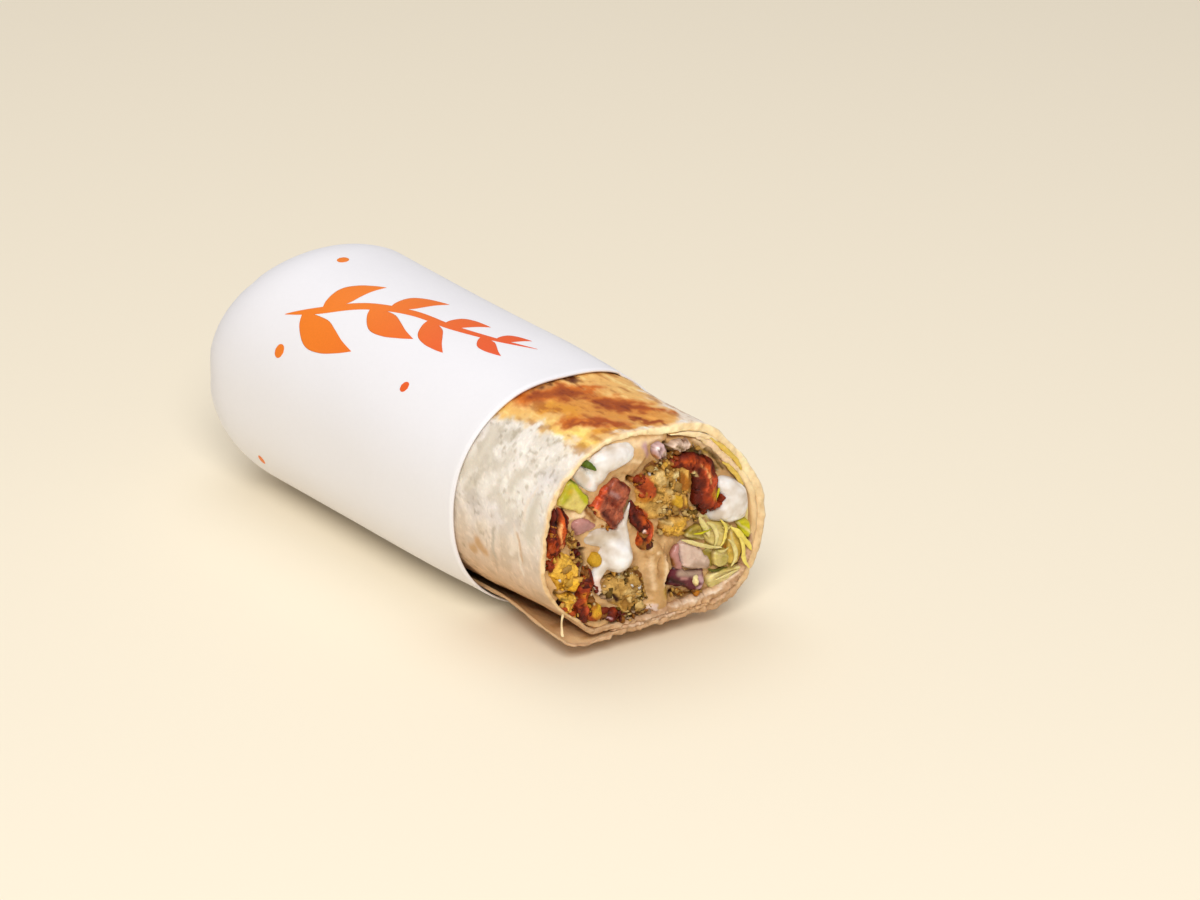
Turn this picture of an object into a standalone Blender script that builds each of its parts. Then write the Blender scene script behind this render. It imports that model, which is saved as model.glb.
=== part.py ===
"""Half of a falafel wrap in its paper sleeve, lying on its side with the cut face towards -Y.

A flatbread is rolled one and a half times round falafel, salad and sauces. A paper sleeve with a
rounded, closed far end holds it and leaves a bare length of bread at the cut. Every filling runs
lengthwise through the roll, and a bean spread fills what is left between them.
"""

import math
from collections import namedtuple

import bmesh
import bpy
from mathutils import Vector
from mathutils.geometry import tessellate_polygon

# Driving dimensions. Lengths are in millimetres; the meshes are made in metres.
MM = 0.001
LENGTH = 146.0  # from the cut to the tip of the closed end
BODY_HALF_WIDTH = 30.4  # bread under the paper, half of its width
BODY_HALF_HEIGHT = (27.0, 28.6)  # at the cut and at the far end, the roll thickens a little
BODY_SQUARENESS = (2.12, 2.4)  # superellipse powers of the section, above and below the middle
BODY_SINK = 0.4  # the round underside is flattened by this much, into a foot
CUT_CENTRE_HEIGHT = 27.0
CUT_RADII = (30.6, 27.6, 27.8, 26.2, 29.2, 30.2, 29.2, 28.2, 26.6, 24.3, 28.4, 31.0)  # every 30 degrees
CUT_SHAPE_REACH = 62.0  # the cut's own shape fades out over this length
UNDERSIDE_SINE = -0.2  # the flat foot bounds the skin where the sine of the angle is below this
CUT_LIFT = 1.7  # the bare end hangs this far above the surface that the sleeve rests on
CUT_SKEW = -0.092  # slope of the cut across the roll
SKEW_REACH = 105.0
DOME_START = 120.0
DOME_WIDTH_POWER = 3.4  # the closed end stays wide and rounds off in height
DOME_HEIGHT_POWER = 2.2

SLEEVE_RIM = 32.0  # bare bread between the cut and the paper
SLEEVE_WALL = 0.5
GAP = 0.35  # clearance between neighbouring pieces

BREAD_THICKNESS = 1.8
LAYER_PITCH = 2.1  # bread and the slit between two turns
FLAP_ANGLE = 223.0  # where the outer turn ends in a loose flap, degrees from +X
FLAP_SPREAD = 34.0  # the flap stands off over this angle
FLAP_STAND_OFF = 4.4  # how far the flap's free edge stands away from the roll at the cut
TUCK_ANGLE = 28.0  # the bread slips under its own flap over this angle
ROLL_ANGLE = 577.5  # whole roll, from the flap to the hidden inner end
ROLL_STEP = 7.5
INNER_TAPER_ANGLE = 16.0
INNER_TAPER_THICKNESS = 0.6

FILLING_END = 112.0  # fillings stop here, against the folded end of the bread
FOLDED_END_INSET = 0.4  # keeps the folded end inside the outer turn's thickness
FOLDED_END_OVERLAP = 2.0
SPREAD_RECESS = 1.4  # the spread lies behind the cut plane
PIECE_RECESS = 1.8  # side walls of a filling start here, in front of them is its rounded end
ROUNDED_END = ((0.62, -0.75), (0.90, 0.0))  # shrinks the outline, and share of the filling's bulge

SHARP_ANGLE = 35.0  # edges between faces that meet at more degrees than this stay crisp
RING_POINTS = 40
PIECE_POINTS = 14
ROLL_ROWS = (12.0, 32.0, 62.0)  # rows that the bread and all fillings share
SLEEVE_ROWS = (SLEEVE_RIM, 44.0, 62.0, 90.0, DOME_START)
DOME_STEPS = 7

# A filling seen on the cut: its centre, size, turn in degrees, superellipse power, how uneven its
# outline is, how far its cut end stands proud of the cut plane, and its finish.
Filling = namedtuple("Filling", "name x z wide high turn power uneven bulge colour roughness")
FALAFEL = (0.36, 0.20, 0.06)
SAUCE = (0.88, 0.86, 0.82)
FILLINGS = (
    Filling("falafel_right", 5.6, 35.6, 22.0, 18.4, -12.0, 2.3, 0.035, 1.6, FALAFEL, 0.85),
    Filling("falafel_bottom", -6.5, 14.2, 12.0, 11.8, 10.0, 2.3, 0.035, 1.4, FALAFEL, 0.85),
    Filling("falafel_left", -20.2, 24.0, 7.4, 22.0, 14.0, 2.2, 0.035, 1.0, FALAFEL, 0.85),
    Filling("tomato", -11.8, 37.0, 8.2, 8.8, 38.0, 3.0, 0.02, 0.8, (0.50, 0.08, 0.03), 0.3),
    Filling("cucumber", -19.9, 40.3, 4.8, 6.2, 32.0, 3.0, 0.0, 0.6, (0.55, 0.66, 0.22), 0.3),
    Filling("sauce_top", -11.4, 46.6, 12.4, 5.2, 10.0, 2.2, 0.03, 1.6, SAUCE, 0.3),
    Filling("sauce_middle", -10.0, 25.5, 8.4, 12.6, -30.0, 2.2, 0.03, 2.4, SAUCE, 0.3),
    Filling("sauce_right", 20.0, 29.4, 8.2, 8.8, 18.0, 2.3, 0.03, 2.4, SAUCE, 0.3),
    Filling("onion_left", -17.5, 33.7, 3.0, 2.2, 18.0, 2.0, 0.0, 1.0, (0.72, 0.60, 0.66), 0.35),
    Filling("onion_right", 8.8, 19.8, 9.8, 6.6, -18.0, 2.2, 0.02, 1.6, (0.74, 0.62, 0.70), 0.35),
    Filling("onion_dark", 8.8, 12.0, 9.6, 5.0, -8.0, 2.2, 0.02, 1.4, (0.28, 0.15, 0.26), 0.35),
    Filling("onion_top", 4.2, 47.4, 9.8, 2.6, -4.0, 2.2, 0.05, 0.8, (0.52, 0.45, 0.50), 0.35),
    Filling("lettuce", 18.6, 17.8, 8.0, 11.6, 10.0, 2.3, 0.04, 1.4, (0.60, 0.66, 0.25), 0.5),
)


def smooth_step(value):
    """Rise smoothly from 0 to 1 while the value does."""
    value = min(max(value, 0.0), 1.0)
    return value * value * (3.0 - 2.0 * value)


def cut_shape(angle):
    """Radius of the cut's outline: a smooth closed curve through the radii in CUT_RADII."""
    count = len(CUT_RADII)
    place = (angle / math.tau % 1.0) * count
    index = int(place)
    t = place - index
    before, start, end, after = (CUT_RADII[(index + shift) % count] for shift in (-1, 0, 1, 2))
    slope_start = (end - before) / 2.0
    slope_end = (after - start) / 2.0
    return (
        start * (2 * t**3 - 3 * t**2 + 1)
        + slope_start * (t**3 - 2 * t**2 + t)
        + end * (3 * t**2 - 2 * t**3)
        + slope_end * (t**3 - t**2)
    )


def half_height(along):
    at_cut, at_far_end = BODY_HALF_HEIGHT
    return at_cut + (at_far_end - at_cut) * min(max(along, 0.0) / DOME_START, 1.0)


def body_shape(angle, along):
    """Radius of the superellipse that the roll takes under the paper."""
    power = BODY_SQUARENESS[0] if math.sin(angle) > 0.0 else BODY_SQUARENESS[1]
    across = abs(math.cos(angle) / BODY_HALF_WIDTH) ** power
    upward = abs(math.sin(angle) / half_height(along)) ** power
    return (across + upward) ** (-1.0 / power)


def centre_height(along):
    share = smooth_step(along / CUT_SHAPE_REACH)
    body_centre = GAP + SLEEVE_WALL + half_height(along) - BODY_SINK
    return CUT_CENTRE_HEIGHT + (body_centre - CUT_CENTRE_HEIGHT) * share


def foot_height(along):
    """Height of the bread's flat underside: thin air and paper lie below it, and the cut end lifts."""
    lift = max(1.0 - along / SLEEVE_RIM, 0.0) ** 2 * CUT_LIFT
    return GAP + SLEEVE_WALL + lift


def flap_stand_off(along, turned):
    """How far the loose flap stands off: most at its free corner, not at all under the paper."""
    return FLAP_STAND_OFF * smooth_step(1.0 - along / SLEEVE_RIM) * smooth_step(1.0 - turned / FLAP_SPREAD)


def radius(angle, along, outward):
    """Distance from the roll's centre line to a surface a given way outside the bread's skin."""
    share = smooth_step(along / CUT_SHAPE_REACH)
    reach = cut_shape(angle) * (1.0 - share) + body_shape(angle, along) * share + outward
    if math.sin(angle) > UNDERSIDE_SINE:
        return reach
    to_foot = (centre_height(along) - foot_height(along) + outward) / -math.sin(angle)
    return min(reach, to_foot)


def point(angle, along, reach, narrow=1.0, flatten=1.0):
    """Point of the roll at an angle about its centre line, with the cut's slope sheared in."""
    across = reach * narrow * math.cos(angle)
    skew = CUT_SKEW * max(1.0 - along / SKEW_REACH, 0.0)
    height = centre_height(along) + reach * flatten * math.sin(angle)
    return Vector((across, along + skew * across, height)) * MM


def ring(along, outward, narrow=1.0, flatten=1.0):
    """Closed row of points round the roll."""
    angles = [math.tau * index / RING_POINTS for index in range(RING_POINTS)]
    return [point(angle, along, radius(angle, along, outward), narrow, flatten) for angle in angles]


def dome_rings(outward):
    """Rows of the rounded end, without its first row, and the tip."""
    depth = LENGTH - GAP - SLEEVE_WALL + outward - DOME_START
    rows = []
    for step in range(1, DOME_STEPS):
        forward = math.sin(math.pi / 2 * step / DOME_STEPS)
        narrow = (1.0 - forward**DOME_WIDTH_POWER) ** (1.0 / DOME_WIDTH_POWER)
        flatten = (1.0 - forward**DOME_HEIGHT_POWER) ** (1.0 / DOME_HEIGHT_POWER)
        rows.append(ring(DOME_START + depth * forward, outward, narrow, flatten))
    return rows, point(0.0, DOME_START + depth, 0.0)


def make_material(name, colour, roughness):
    material = bpy.data.materials.new(name)
    material.use_nodes = True
    shader = material.node_tree.nodes["Principled BSDF"]
    shader.inputs["Base Color"].default_value = (*colour, 1.0)
    shader.inputs["Roughness"].default_value = roughness
    material.diffuse_color = (*colour, 1.0)
    return material


def make_object(name, points, faces, material):
    """Mesh object whose faces point outwards."""
    mesh = bpy.data.meshes.new(name)
    mesh.from_pydata(points, [], faces)
    shape = bmesh.new()
    shape.from_mesh(mesh)
    bmesh.ops.recalc_face_normals(shape, faces=shape.faces)
    bmesh.ops.triangulate(shape, faces=shape.faces)
    shape.to_mesh(mesh)
    shape.free()
    mesh.materials.append(material)
    mesh.shade_smooth()
    mesh.set_sharp_from_angle(angle=math.radians(SHARP_ANGLE))
    result = bpy.data.objects.new(name, mesh)
    bpy.context.scene.collection.objects.link(result)
    return result


def bridge(first, second, count, closed=True):
    """Quads between two rows of points that start at the given indices."""
    last = count if closed else count - 1
    return [
        (first + i, first + (i + 1) % count, second + (i + 1) % count, second + i)
        for i in range(last)
    ]


def fan(row, tip, count):
    return [(row + i, row + (i + 1) % count, tip) for i in range(count)]


def make_sleeve(material):
    """Paper cup: outer wall and dome, inner wall and dome, joined at the open rim."""
    points = []
    faces = []
    starts = []
    tips = []
    for outward in (GAP, GAP + SLEEVE_WALL):
        rows = [ring(along, outward) for along in SLEEVE_ROWS]
        dome, tip = dome_rings(outward)
        starts.append(len(points))
        for row in rows + dome:
            points.extend(row)
        row_count = len(rows) + len(dome)
        for index in range(row_count - 1):
            first = starts[-1] + index * RING_POINTS
            faces.extend(bridge(first, first + RING_POINTS, RING_POINTS))
        tips.append(len(points))
        points.append(tip)
        faces.extend(fan(tips[-1] - RING_POINTS, tips[-1], RING_POINTS))
    faces.extend(bridge(starts[0], starts[1], RING_POINTS))
    return make_object("paper_sleeve", points, faces, material)


def layer_inset(turned):
    """Depth of a turn's outer surface under the skin: the second turn lies one pitch deeper."""
    return LAYER_PITCH * smooth_step((turned - 360.0 + TUCK_ANGLE) / TUCK_ANGLE)


def layer_thickness(turned):
    """Bread thickness, tapering to the hidden inner end."""
    left = min((ROLL_ANGLE - turned) / INNER_TAPER_ANGLE, 1.0)
    return INNER_TAPER_THICKNESS + (BREAD_THICKNESS - INNER_TAPER_THICKNESS) * left


def wall_depth(angle):
    """Depth of the innermost bread surface at an angle."""
    turned = (math.degrees(angle) - FLAP_ANGLE) % 360.0
    turns = [value for value in (turned, turned + 360.0) if value <= ROLL_ANGLE]
    return max(layer_inset(value) + layer_thickness(value) for value in turns)


def make_rolled_bread(material):
    """Ribbon rolled in a spiral: each row is a strip of outer points and one of inner points."""
    rows = (0.0, *ROLL_ROWS, FILLING_END + GAP + FOLDED_END_OVERLAP / 2)
    count = round(ROLL_ANGLE / ROLL_STEP) + 1
    points = []
    for along in rows:
        for side in (0.0, 1.0):
            for index in range(count):
                turned = ROLL_STEP * index
                angle = math.radians(FLAP_ANGLE + turned)
                depth = layer_inset(turned) + layer_thickness(turned) * side
                reach = radius(angle, along, -depth) + flap_stand_off(along, turned)
                points.append(point(angle, along, reach))
    faces = []
    row_size = 2 * count
    for index in range(len(rows) - 1):
        row = index * row_size
        faces.extend(bridge(row, row + row_size, count, closed=False))
        faces.extend(bridge(row + count, row + row_size + count, count, closed=False))
        for end in (0, count - 1):
            outer = row + end
            inner = outer + count
            faces.append((outer, outer + row_size, inner + row_size, inner))
    for row in (0, (len(rows) - 1) * row_size):
        faces.extend(bridge(row, row + count, count, closed=False))
    return make_object("tortilla", points, faces, material)


def make_folded_end(material):
    """Folded-in far end of the bread, a solid dome behind the fillings."""
    start = FILLING_END + GAP
    overlap = start + FOLDED_END_OVERLAP
    rows = [ring(start, -FOLDED_END_INSET), ring(overlap, -FOLDED_END_INSET), ring(DOME_START, 0.0)]
    dome, tip = dome_rings(0.0)
    points = [place for row in rows + dome for place in row]
    points.append(tip)
    front = len(points)
    points.append(point(0.0, start, 0.0))
    faces = []
    for index in range(len(rows) + len(dome) - 1):
        faces.extend(bridge(index * RING_POINTS, (index + 1) * RING_POINTS, RING_POINTS))
    faces.extend(fan(front - 1 - RING_POINTS, front - 1, RING_POINTS))
    faces.extend(fan(0, front, RING_POINTS))
    return make_object("folded_end", points, faces, material)


def make_tortilla(material):
    """Rolled bread joined to its folded end."""
    tortilla = make_rolled_bread(material)
    folded_end = make_folded_end(material)
    folded_end.hide_render = True
    folded_end.display_type = "WIRE"
    union = tortilla.modifiers.new("folded end", "BOOLEAN")
    union.operation = "UNION"
    union.object = folded_end
    return tortilla


def rounded(ratio, power):
    """Cosine or sine of an angle, made into that of a superellipse."""
    return math.copysign(abs(ratio) ** (2.0 / power), ratio)


def filling_outline(filling, grow=0.0):
    """Outline of a filling on the cut: an uneven superellipse, grown by a clearance."""
    outline = []
    turn = math.radians(filling.turn)
    for index in range(PIECE_POINTS):
        angle = math.tau * index / PIECE_POINTS
        wave = 1.0 + filling.uneven * (math.sin(3 * angle + filling.x) + math.cos(5 * angle + filling.z))
        across = (filling.wide / 2 * wave + grow) * rounded(math.cos(angle), filling.power)
        upward = (filling.high / 2 * wave + grow) * rounded(math.sin(angle), filling.power)
        x = filling.x + across * math.cos(turn) - upward * math.sin(turn)
        z = filling.z + across * math.sin(turn) + upward * math.cos(turn)
        outline.append((x, z))
    return outline


def follow_roll(x, z, along):
    """Carry a point of the cut along the roll, as the section changes its shape."""
    height = z - CUT_CENTRE_HEIGHT
    angle = math.atan2(height, x)
    depth = wall_depth(angle) + GAP
    share = math.hypot(x, height) / radius(angle, 0.0, -depth)
    return point(angle, along, share * radius(angle, along, -depth))


def make_filling(filling, material):
    """Filling as a long piece with a rounded cut end."""
    outline = filling_outline(filling)
    rows = [(scale, share * filling.bulge) for scale, share in ROUNDED_END]
    rows.extend((1.0, along) for along in (PIECE_RECESS, *ROLL_ROWS, FILLING_END))
    points = []
    for scale, along in rows:
        for x, z in outline:
            middle_x = filling.x + (x - filling.x) * scale
            middle_z = filling.z + (z - filling.z) * scale
            points.append(follow_roll(middle_x, middle_z, along))
    front = len(points)
    points.append(follow_roll(filling.x, filling.z, -filling.bulge))
    points.append(follow_roll(filling.x, filling.z, FILLING_END))
    faces = []
    for index in range(len(rows) - 1):
        faces.extend(bridge(index * PIECE_POINTS, (index + 1) * PIECE_POINTS, PIECE_POINTS))
    faces.extend(fan(0, front, PIECE_POINTS))
    faces.extend(fan(front - PIECE_POINTS, front + 1, PIECE_POINTS))
    return make_object(filling.name, points, faces, material)


def spread_outline():
    """Inside of the bread with its clearance."""
    outline = []
    for index in range(round(360.0 / ROLL_STEP)):
        angle = math.radians(FLAP_ANGLE + ROLL_STEP * index)
        reach = radius(angle, 0.0, -wall_depth(angle) - GAP)
        outline.append((reach * math.cos(angle), CUT_CENTRE_HEIGHT + reach * math.sin(angle)))
    return outline


def make_spread(material):
    """Spread: the whole inside of the bread, with a channel for every filling."""
    loops = [spread_outline()]
    loops.extend(filling_outline(filling, GAP) for filling in FILLINGS)
    flat = [(x, z) for loop in loops for x, z in loop]
    triangles = tessellate_polygon([[Vector((x, z, 0.0)) for x, z in loop] for loop in loops])
    rows = (SPREAD_RECESS, *ROLL_ROWS, FILLING_END)
    points = [follow_roll(x, z, along) for along in rows for x, z in flat]
    faces = []
    for index in range(len(rows) - 1):
        start = index * len(flat)
        for loop in loops:
            faces.extend(bridge(start, start + len(flat), len(loop)))
            start += len(loop)
    last = (len(rows) - 1) * len(flat)
    for row in (0, last):
        faces.extend(tuple(row + corner for corner in triangle) for triangle in triangles)
    return make_object("spread", points, faces, material)


def stand_on_origin(objects):
    """Bring the middle of the whole roll's underside to the origin."""
    places = [vertex.co for item in objects for vertex in item.data.vertices]
    middle_x = (min(p.x for p in places) + max(p.x for p in places)) / 2
    middle_y = (min(p.y for p in places) + max(p.y for p in places)) / 2
    shift = Vector((-middle_x, -middle_y, -min(p.z for p in places)))
    for item in objects:
        item.location = shift


def main():
    for item in list(bpy.data.objects):
        bpy.data.objects.remove(item)
    bread = make_material("flatbread", (0.78, 0.68, 0.52), 0.75)
    pieces = [
        make_sleeve(make_material("paper", (0.86, 0.85, 0.84), 0.55)),
        make_tortilla(bread),
        make_spread(make_material("bean spread", (0.66, 0.52, 0.36), 0.4)),
    ]
    for filling in FILLINGS:
        material = make_material(filling.name, filling.colour, filling.roughness)
        pieces.append(make_filling(filling, material))
    pieces.append(bpy.data.objects["folded_end"])
    stand_on_origin(pieces)


main()
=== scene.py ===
"""Looks of half a falafel wrap in its paper sleeve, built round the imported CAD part.

Pieces are worked out in the roll's own millimetres: x across the roll, `along` it from the middle
of the cut, and z up. What shows at the cut is painted and raised by short strokes on each piece.
"""

import itertools
import math
from collections import namedtuple

import bmesh
import bpy
import numpy as np
from mathutils import Matrix, Vector


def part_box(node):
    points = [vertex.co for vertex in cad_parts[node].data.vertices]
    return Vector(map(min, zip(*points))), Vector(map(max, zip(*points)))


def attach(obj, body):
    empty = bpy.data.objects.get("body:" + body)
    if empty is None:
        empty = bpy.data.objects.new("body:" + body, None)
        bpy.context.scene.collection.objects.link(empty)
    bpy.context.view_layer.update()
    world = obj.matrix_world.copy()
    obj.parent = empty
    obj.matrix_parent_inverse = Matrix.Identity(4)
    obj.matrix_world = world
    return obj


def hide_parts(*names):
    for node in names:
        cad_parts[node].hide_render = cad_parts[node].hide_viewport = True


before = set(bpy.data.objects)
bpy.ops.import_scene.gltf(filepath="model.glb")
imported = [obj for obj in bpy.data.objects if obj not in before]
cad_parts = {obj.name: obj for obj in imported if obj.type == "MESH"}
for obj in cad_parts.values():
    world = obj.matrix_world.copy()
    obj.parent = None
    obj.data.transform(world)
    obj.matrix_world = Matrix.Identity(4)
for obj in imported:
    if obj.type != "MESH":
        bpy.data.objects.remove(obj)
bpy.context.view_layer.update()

# The roll: its driving sizes repeat the CAD part's, in millimetres.
MM = 0.001
LENGTH = 146.0
BODY_HALF_WIDTH = 30.4
BODY_HALF_HEIGHT = (27.0, 28.6)
BODY_SQUARENESS = (2.12, 2.4)
BODY_SINK = 0.4
CUT_CENTRE_HEIGHT = 27.0
CUT_RADII = np.array((30.6, 27.6, 27.8, 26.2, 29.2, 30.2, 29.4, 28.9, 27.4, 24.4, 28.4, 31.0))
CUT_SHAPE_REACH = 62.0
CUT_LIFT = 3.2
CUT_SKEW = -0.092
SKEW_REACH = 105.0
DOME_START = 120.0
DOME_WIDTH_POWER = 3.4
DOME_HEIGHT_POWER = 2.2
SLEEVE_RIM = 32.0
SLEEVE_WALL = 0.5
GAP = 0.35
BREAD_THICKNESS = 1.1
BREAD_COVER = 0.8  # of bread outside any filling
LAYER_PITCH = 2.1
FLAP_ANGLE = 223.0
FLAP_SPREAD = 15.0
FLAP_STAND_OFF = 3.3
FLAP_REACH = 40.0
TUCK_ANGLE = 28.0
ROLL_ANGLE = 577.5
FILLING_END = 112.0
INSIDE_DEPTH = 4.4  # from the bread's skin to the filling, on average

# Where the cut plane's middle lies in the part's frame.
SLEEVE_LOW, SLEEVE_HIGH = (np.array(corner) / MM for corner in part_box("paper_sleeve"))
SHIFT = np.array(((SLEEVE_LOW[0] + SLEEVE_HIGH[0]) / 2, SLEEVE_HIGH[1] - LENGTH, SLEEVE_LOW[2]))

# Colours as red, green and blue from 0 to 255 on a screen.
SCREEN_TONES = {
    "paper": (243, 241, 243),
    "print": (243, 128, 30),
    "print_deep": (234, 88, 34),
    "bread": (243, 234, 221),
    "bread_beige": (224, 196, 168),
    "bread_shade": (220, 209, 190),
    "bread_light": (242, 226, 206),
    "bread_lilac": (230, 222, 222),
    "bread_tan": (206, 164, 118),
    "bread_fleck": (190, 177, 155),
    "bread_edge": (255, 230, 182),
    "bread_inner": (236, 202, 152),
    # A darker tone low on the cut edge and on the crumpled bread at the bottom.
    "bread_bottom": (200, 160, 122),
    "toast_yellow": (246, 200, 98),
    "toast_tan": (238, 184, 106),
    "toast_gold": (226, 152, 48),
    "toast_amber": (222, 148, 62),
    "toast_orange": (204, 104, 18),
    "toast_brown": (158, 70, 10),
    # Toasted brown darkened as painted shadow by the sleeve's rim.
    "toast_in_shadow": (104, 46, 6),
    "crumb": (206, 157, 73),
    "crumb_yellow": (226, 174, 62),
    "crumb_gold": (232, 174, 44),
    "khaki": (184, 141, 68),
    "khaki_light": (214, 180, 112),
    "amber": (182, 112, 24),
    "chickpea": (204, 156, 34),
    "pale": (240, 216, 150),
    "rust": (176, 72, 20),
    "rust_deep": (134, 44, 8),
    "maroon": (90, 22, 5),
    # Painted shade: the dark of deep gaps between fillings, near-black and olive.
    "gap_shade": (52, 16, 8),
    "gap_olive_shade": (112, 84, 22),
    "brown": (140, 86, 28),
    "grey": (164, 134, 104),
    "tomato": (168, 86, 58),
    "tomato_red": (208, 84, 44),
    "tomato_flesh": (230, 162, 98),
    "sauce": (234, 227, 219),
    "sauce_shade": (206, 188, 164),
    "sauce_pink": (236, 206, 192),
    "spread": (212, 170, 116),
    "spread_light": (238, 206, 162),
    "spread_tan": (200, 156, 100),
    "spread_shade": (176, 132, 84),
    "spread_olive": (188, 150, 66),
    "onion": (214, 186, 168),
    "onion_pink": (190, 136, 128),
    "onion_rose": (172, 124, 118),
    "onion_purple": (98, 34, 44),
    "onion_lilac": (206, 166, 170),
    "onion_grey": (178, 150, 130),
    "onion_mauve": (164, 134, 132),
    "cucumber": (221, 200, 110),
    "cucumber_lime": (186, 184, 14),
    "cucumber_olive": (176, 170, 34),
    "cucumber_amber": (214, 176, 40),
    "cucumber_skin": (84, 104, 10),
    "lettuce": (208, 188, 108),
    "lettuce_pale": (228, 212, 142),
    "lettuce_bright": (242, 220, 108),
    "lettuce_gold": (224, 190, 88),
    "lettuce_lime": (202, 194, 20),
    "lettuce_khaki": (180, 157, 66),
    "lettuce_dark": (92, 92, 14),
    "herb": (84, 104, 10),
    "floor": (249, 238, 214),
}

CAMERA_PLACE = (-0.5492, -0.7475, 0.4153)
CAMERA_AIM = (0.06025, 0.0251, 0.0)
CAMERA_ROLL = math.radians(0.63)
CAMERA_LENS = 126.9


def linear(tone):
    """A screen colour as the light that it stands for."""
    share = np.array(tone, float) / 255.0
    return np.where(share <= 0.04045, share / 12.92, ((share + 0.055) / 1.055) ** 2.4)


TONES = {name: linear(tone) for name, tone in SCREEN_TONES.items()}


# --- Shape of the roll ---


def smooth(value):
    value = np.clip(value, 0.0, 1.0)
    return value * value * (3.0 - 2.0 * value)


def cut_shape(angle):
    """Radius of the cut's outline: a smooth closed curve through CUT_RADII."""
    count = len(CUT_RADII)
    place = (angle / math.tau % 1.0) * count
    index = np.floor(place).astype(int) % count
    t = place - np.floor(place)
    before, start, end, after = (CUT_RADII[(index + step) % count] for step in (-1, 0, 1, 2))
    slope_start = (end - before) / 2.0
    slope_end = (after - start) / 2.0
    return (
        start * (2 * t**3 - 3 * t**2 + 1)
        + slope_start * (t**3 - 2 * t**2 + t)
        + end * (3 * t**2 - 2 * t**3)
        + slope_end * (t**3 - t**2)
    )


def half_height(along):
    at_cut, at_far_end = BODY_HALF_HEIGHT
    return at_cut + (at_far_end - at_cut) * np.clip(along / DOME_START, 0.0, 1.0)


def body_shape(angle, along):
    """Radius of the superellipse that the roll takes under the paper."""
    power = np.where(np.sin(angle) > 0.0, *BODY_SQUARENESS)
    across = np.abs(np.cos(angle) / BODY_HALF_WIDTH) ** power
    upward = np.abs(np.sin(angle) / half_height(along)) ** power
    return (across + upward) ** (-1.0 / power)


def centre_height(along):
    share = smooth(along / CUT_SHAPE_REACH)
    body_centre = GAP + SLEEVE_WALL + half_height(along) - BODY_SINK
    return CUT_CENTRE_HEIGHT + (body_centre - CUT_CENTRE_HEIGHT) * share


def foot_height(along):
    return GAP + SLEEVE_WALL + np.clip(1.0 - along / SLEEVE_RIM, 0.0, 1.0) ** 2 * CUT_LIFT


def radius(angle, along, outward):
    """Distance from the centre line to a surface a given way outside the bread's skin."""
    share = smooth(along / CUT_SHAPE_REACH)
    reach = cut_shape(angle) * (1.0 - share) + body_shape(angle, along) * share + outward
    down = np.maximum(-np.sin(angle), 0.2)
    to_foot = (centre_height(along) - foot_height(along) + outward) / down
    return np.where(np.sin(angle) > -0.2, reach, np.minimum(reach, to_foot))


def roll_point(angle, along, reach, narrow=1.0, flatten=1.0):
    """Point at an angle about the roll's centre line."""
    across = reach * narrow * np.cos(angle)
    height = centre_height(along) + reach * flatten * np.sin(angle)
    return sheared(across, along, height)


def sheared(x, along, z):
    """Point of the roll, with the slope of the cut across it."""
    x, along, z = np.broadcast_arrays(x, along, z)
    slope = CUT_SKEW * np.clip(1.0 - along / SKEW_REACH, 0.0, 1.1)
    return np.stack([x, along + slope * x, z], -1)


def follow_roll(x, z, along):
    """Carry a place on the cut along the roll as its section changes."""
    height = z - CUT_CENTRE_HEIGHT
    angle = np.arctan2(height, x)
    share = np.hypot(x, height) / radius(angle, 0.0 * angle, -INSIDE_DEPTH)
    return roll_point(angle, along, share * radius(angle, along, -INSIDE_DEPTH))


# --- Repeatable noise ---


def lattice(cell, seed):
    """Random value from 0 to 1 for each whole-number cell."""
    x, y, z = np.moveaxis(cell, -1, 0)
    mixed = x * 374761393 + y * 668265263 + z * 1442695041 + seed * 974634777
    mixed = (mixed ^ (mixed >> 13)) * 1274126177
    return ((mixed ^ (mixed >> 16)) & 0xFFFFFF) / 0xFFFFFF


def value_noise(points, seed):
    base = np.floor(points).astype(np.int64)
    share = smooth(points - base)
    total = 0.0
    for corner in itertools.product((0, 1), repeat=3):
        offset = np.array(corner)
        weight = np.prod(np.where(offset, share, 1.0 - share), axis=-1)
        total = total + weight * lattice(base + offset, seed)
    return total * 2.0 - 1.0


def fractal(points, size, seed, octaves=3):
    """Noise from about -1 to 1 whose largest lumps are `size` across."""
    total = 0.0
    for octave in range(octaves):
        total = total + value_noise(points / size * 2**octave, seed + octave) / 2**octave
    return total


def cells(points, size, seed):
    """Uneven grains: distance to a grain's middle, margin to the next grain, and its random value."""
    scaled = points / size
    base = np.floor(scaled).astype(np.int64)
    nearest = np.full(points.shape[:-1], 9.0)
    second = nearest.copy()
    chance = nearest * 0.0
    for corner in itertools.product((-1, 0, 1), repeat=3):
        cell = base + np.array(corner)
        middle = cell + np.stack([lattice(cell, seed + axis) for axis in range(3)], -1)
        distance = np.linalg.norm(scaled - middle, axis=-1)
        closer = distance < nearest
        second = np.where(closer, nearest, np.minimum(second, distance))
        chance = np.where(closer, lattice(cell, seed + 3), chance)
        nearest = np.where(closer, distance, nearest)
    return nearest, second - nearest, chance


def mix(first, second, share):
    return first + (second - first) * np.asarray(share)[..., None]


# --- Strokes that paint and raise a surface ---

Mark = namedtuple("Mark", "tone path soft rise calm gloss")


def mark(tone, *path, soft=0.3, rise=0.0, calm=0.3, gloss=0.0):
    """Stroke through (x, z, width) places. `calm` flattens the grain under it."""
    return Mark(tone, path, soft, rise, calm, gloss)


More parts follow.
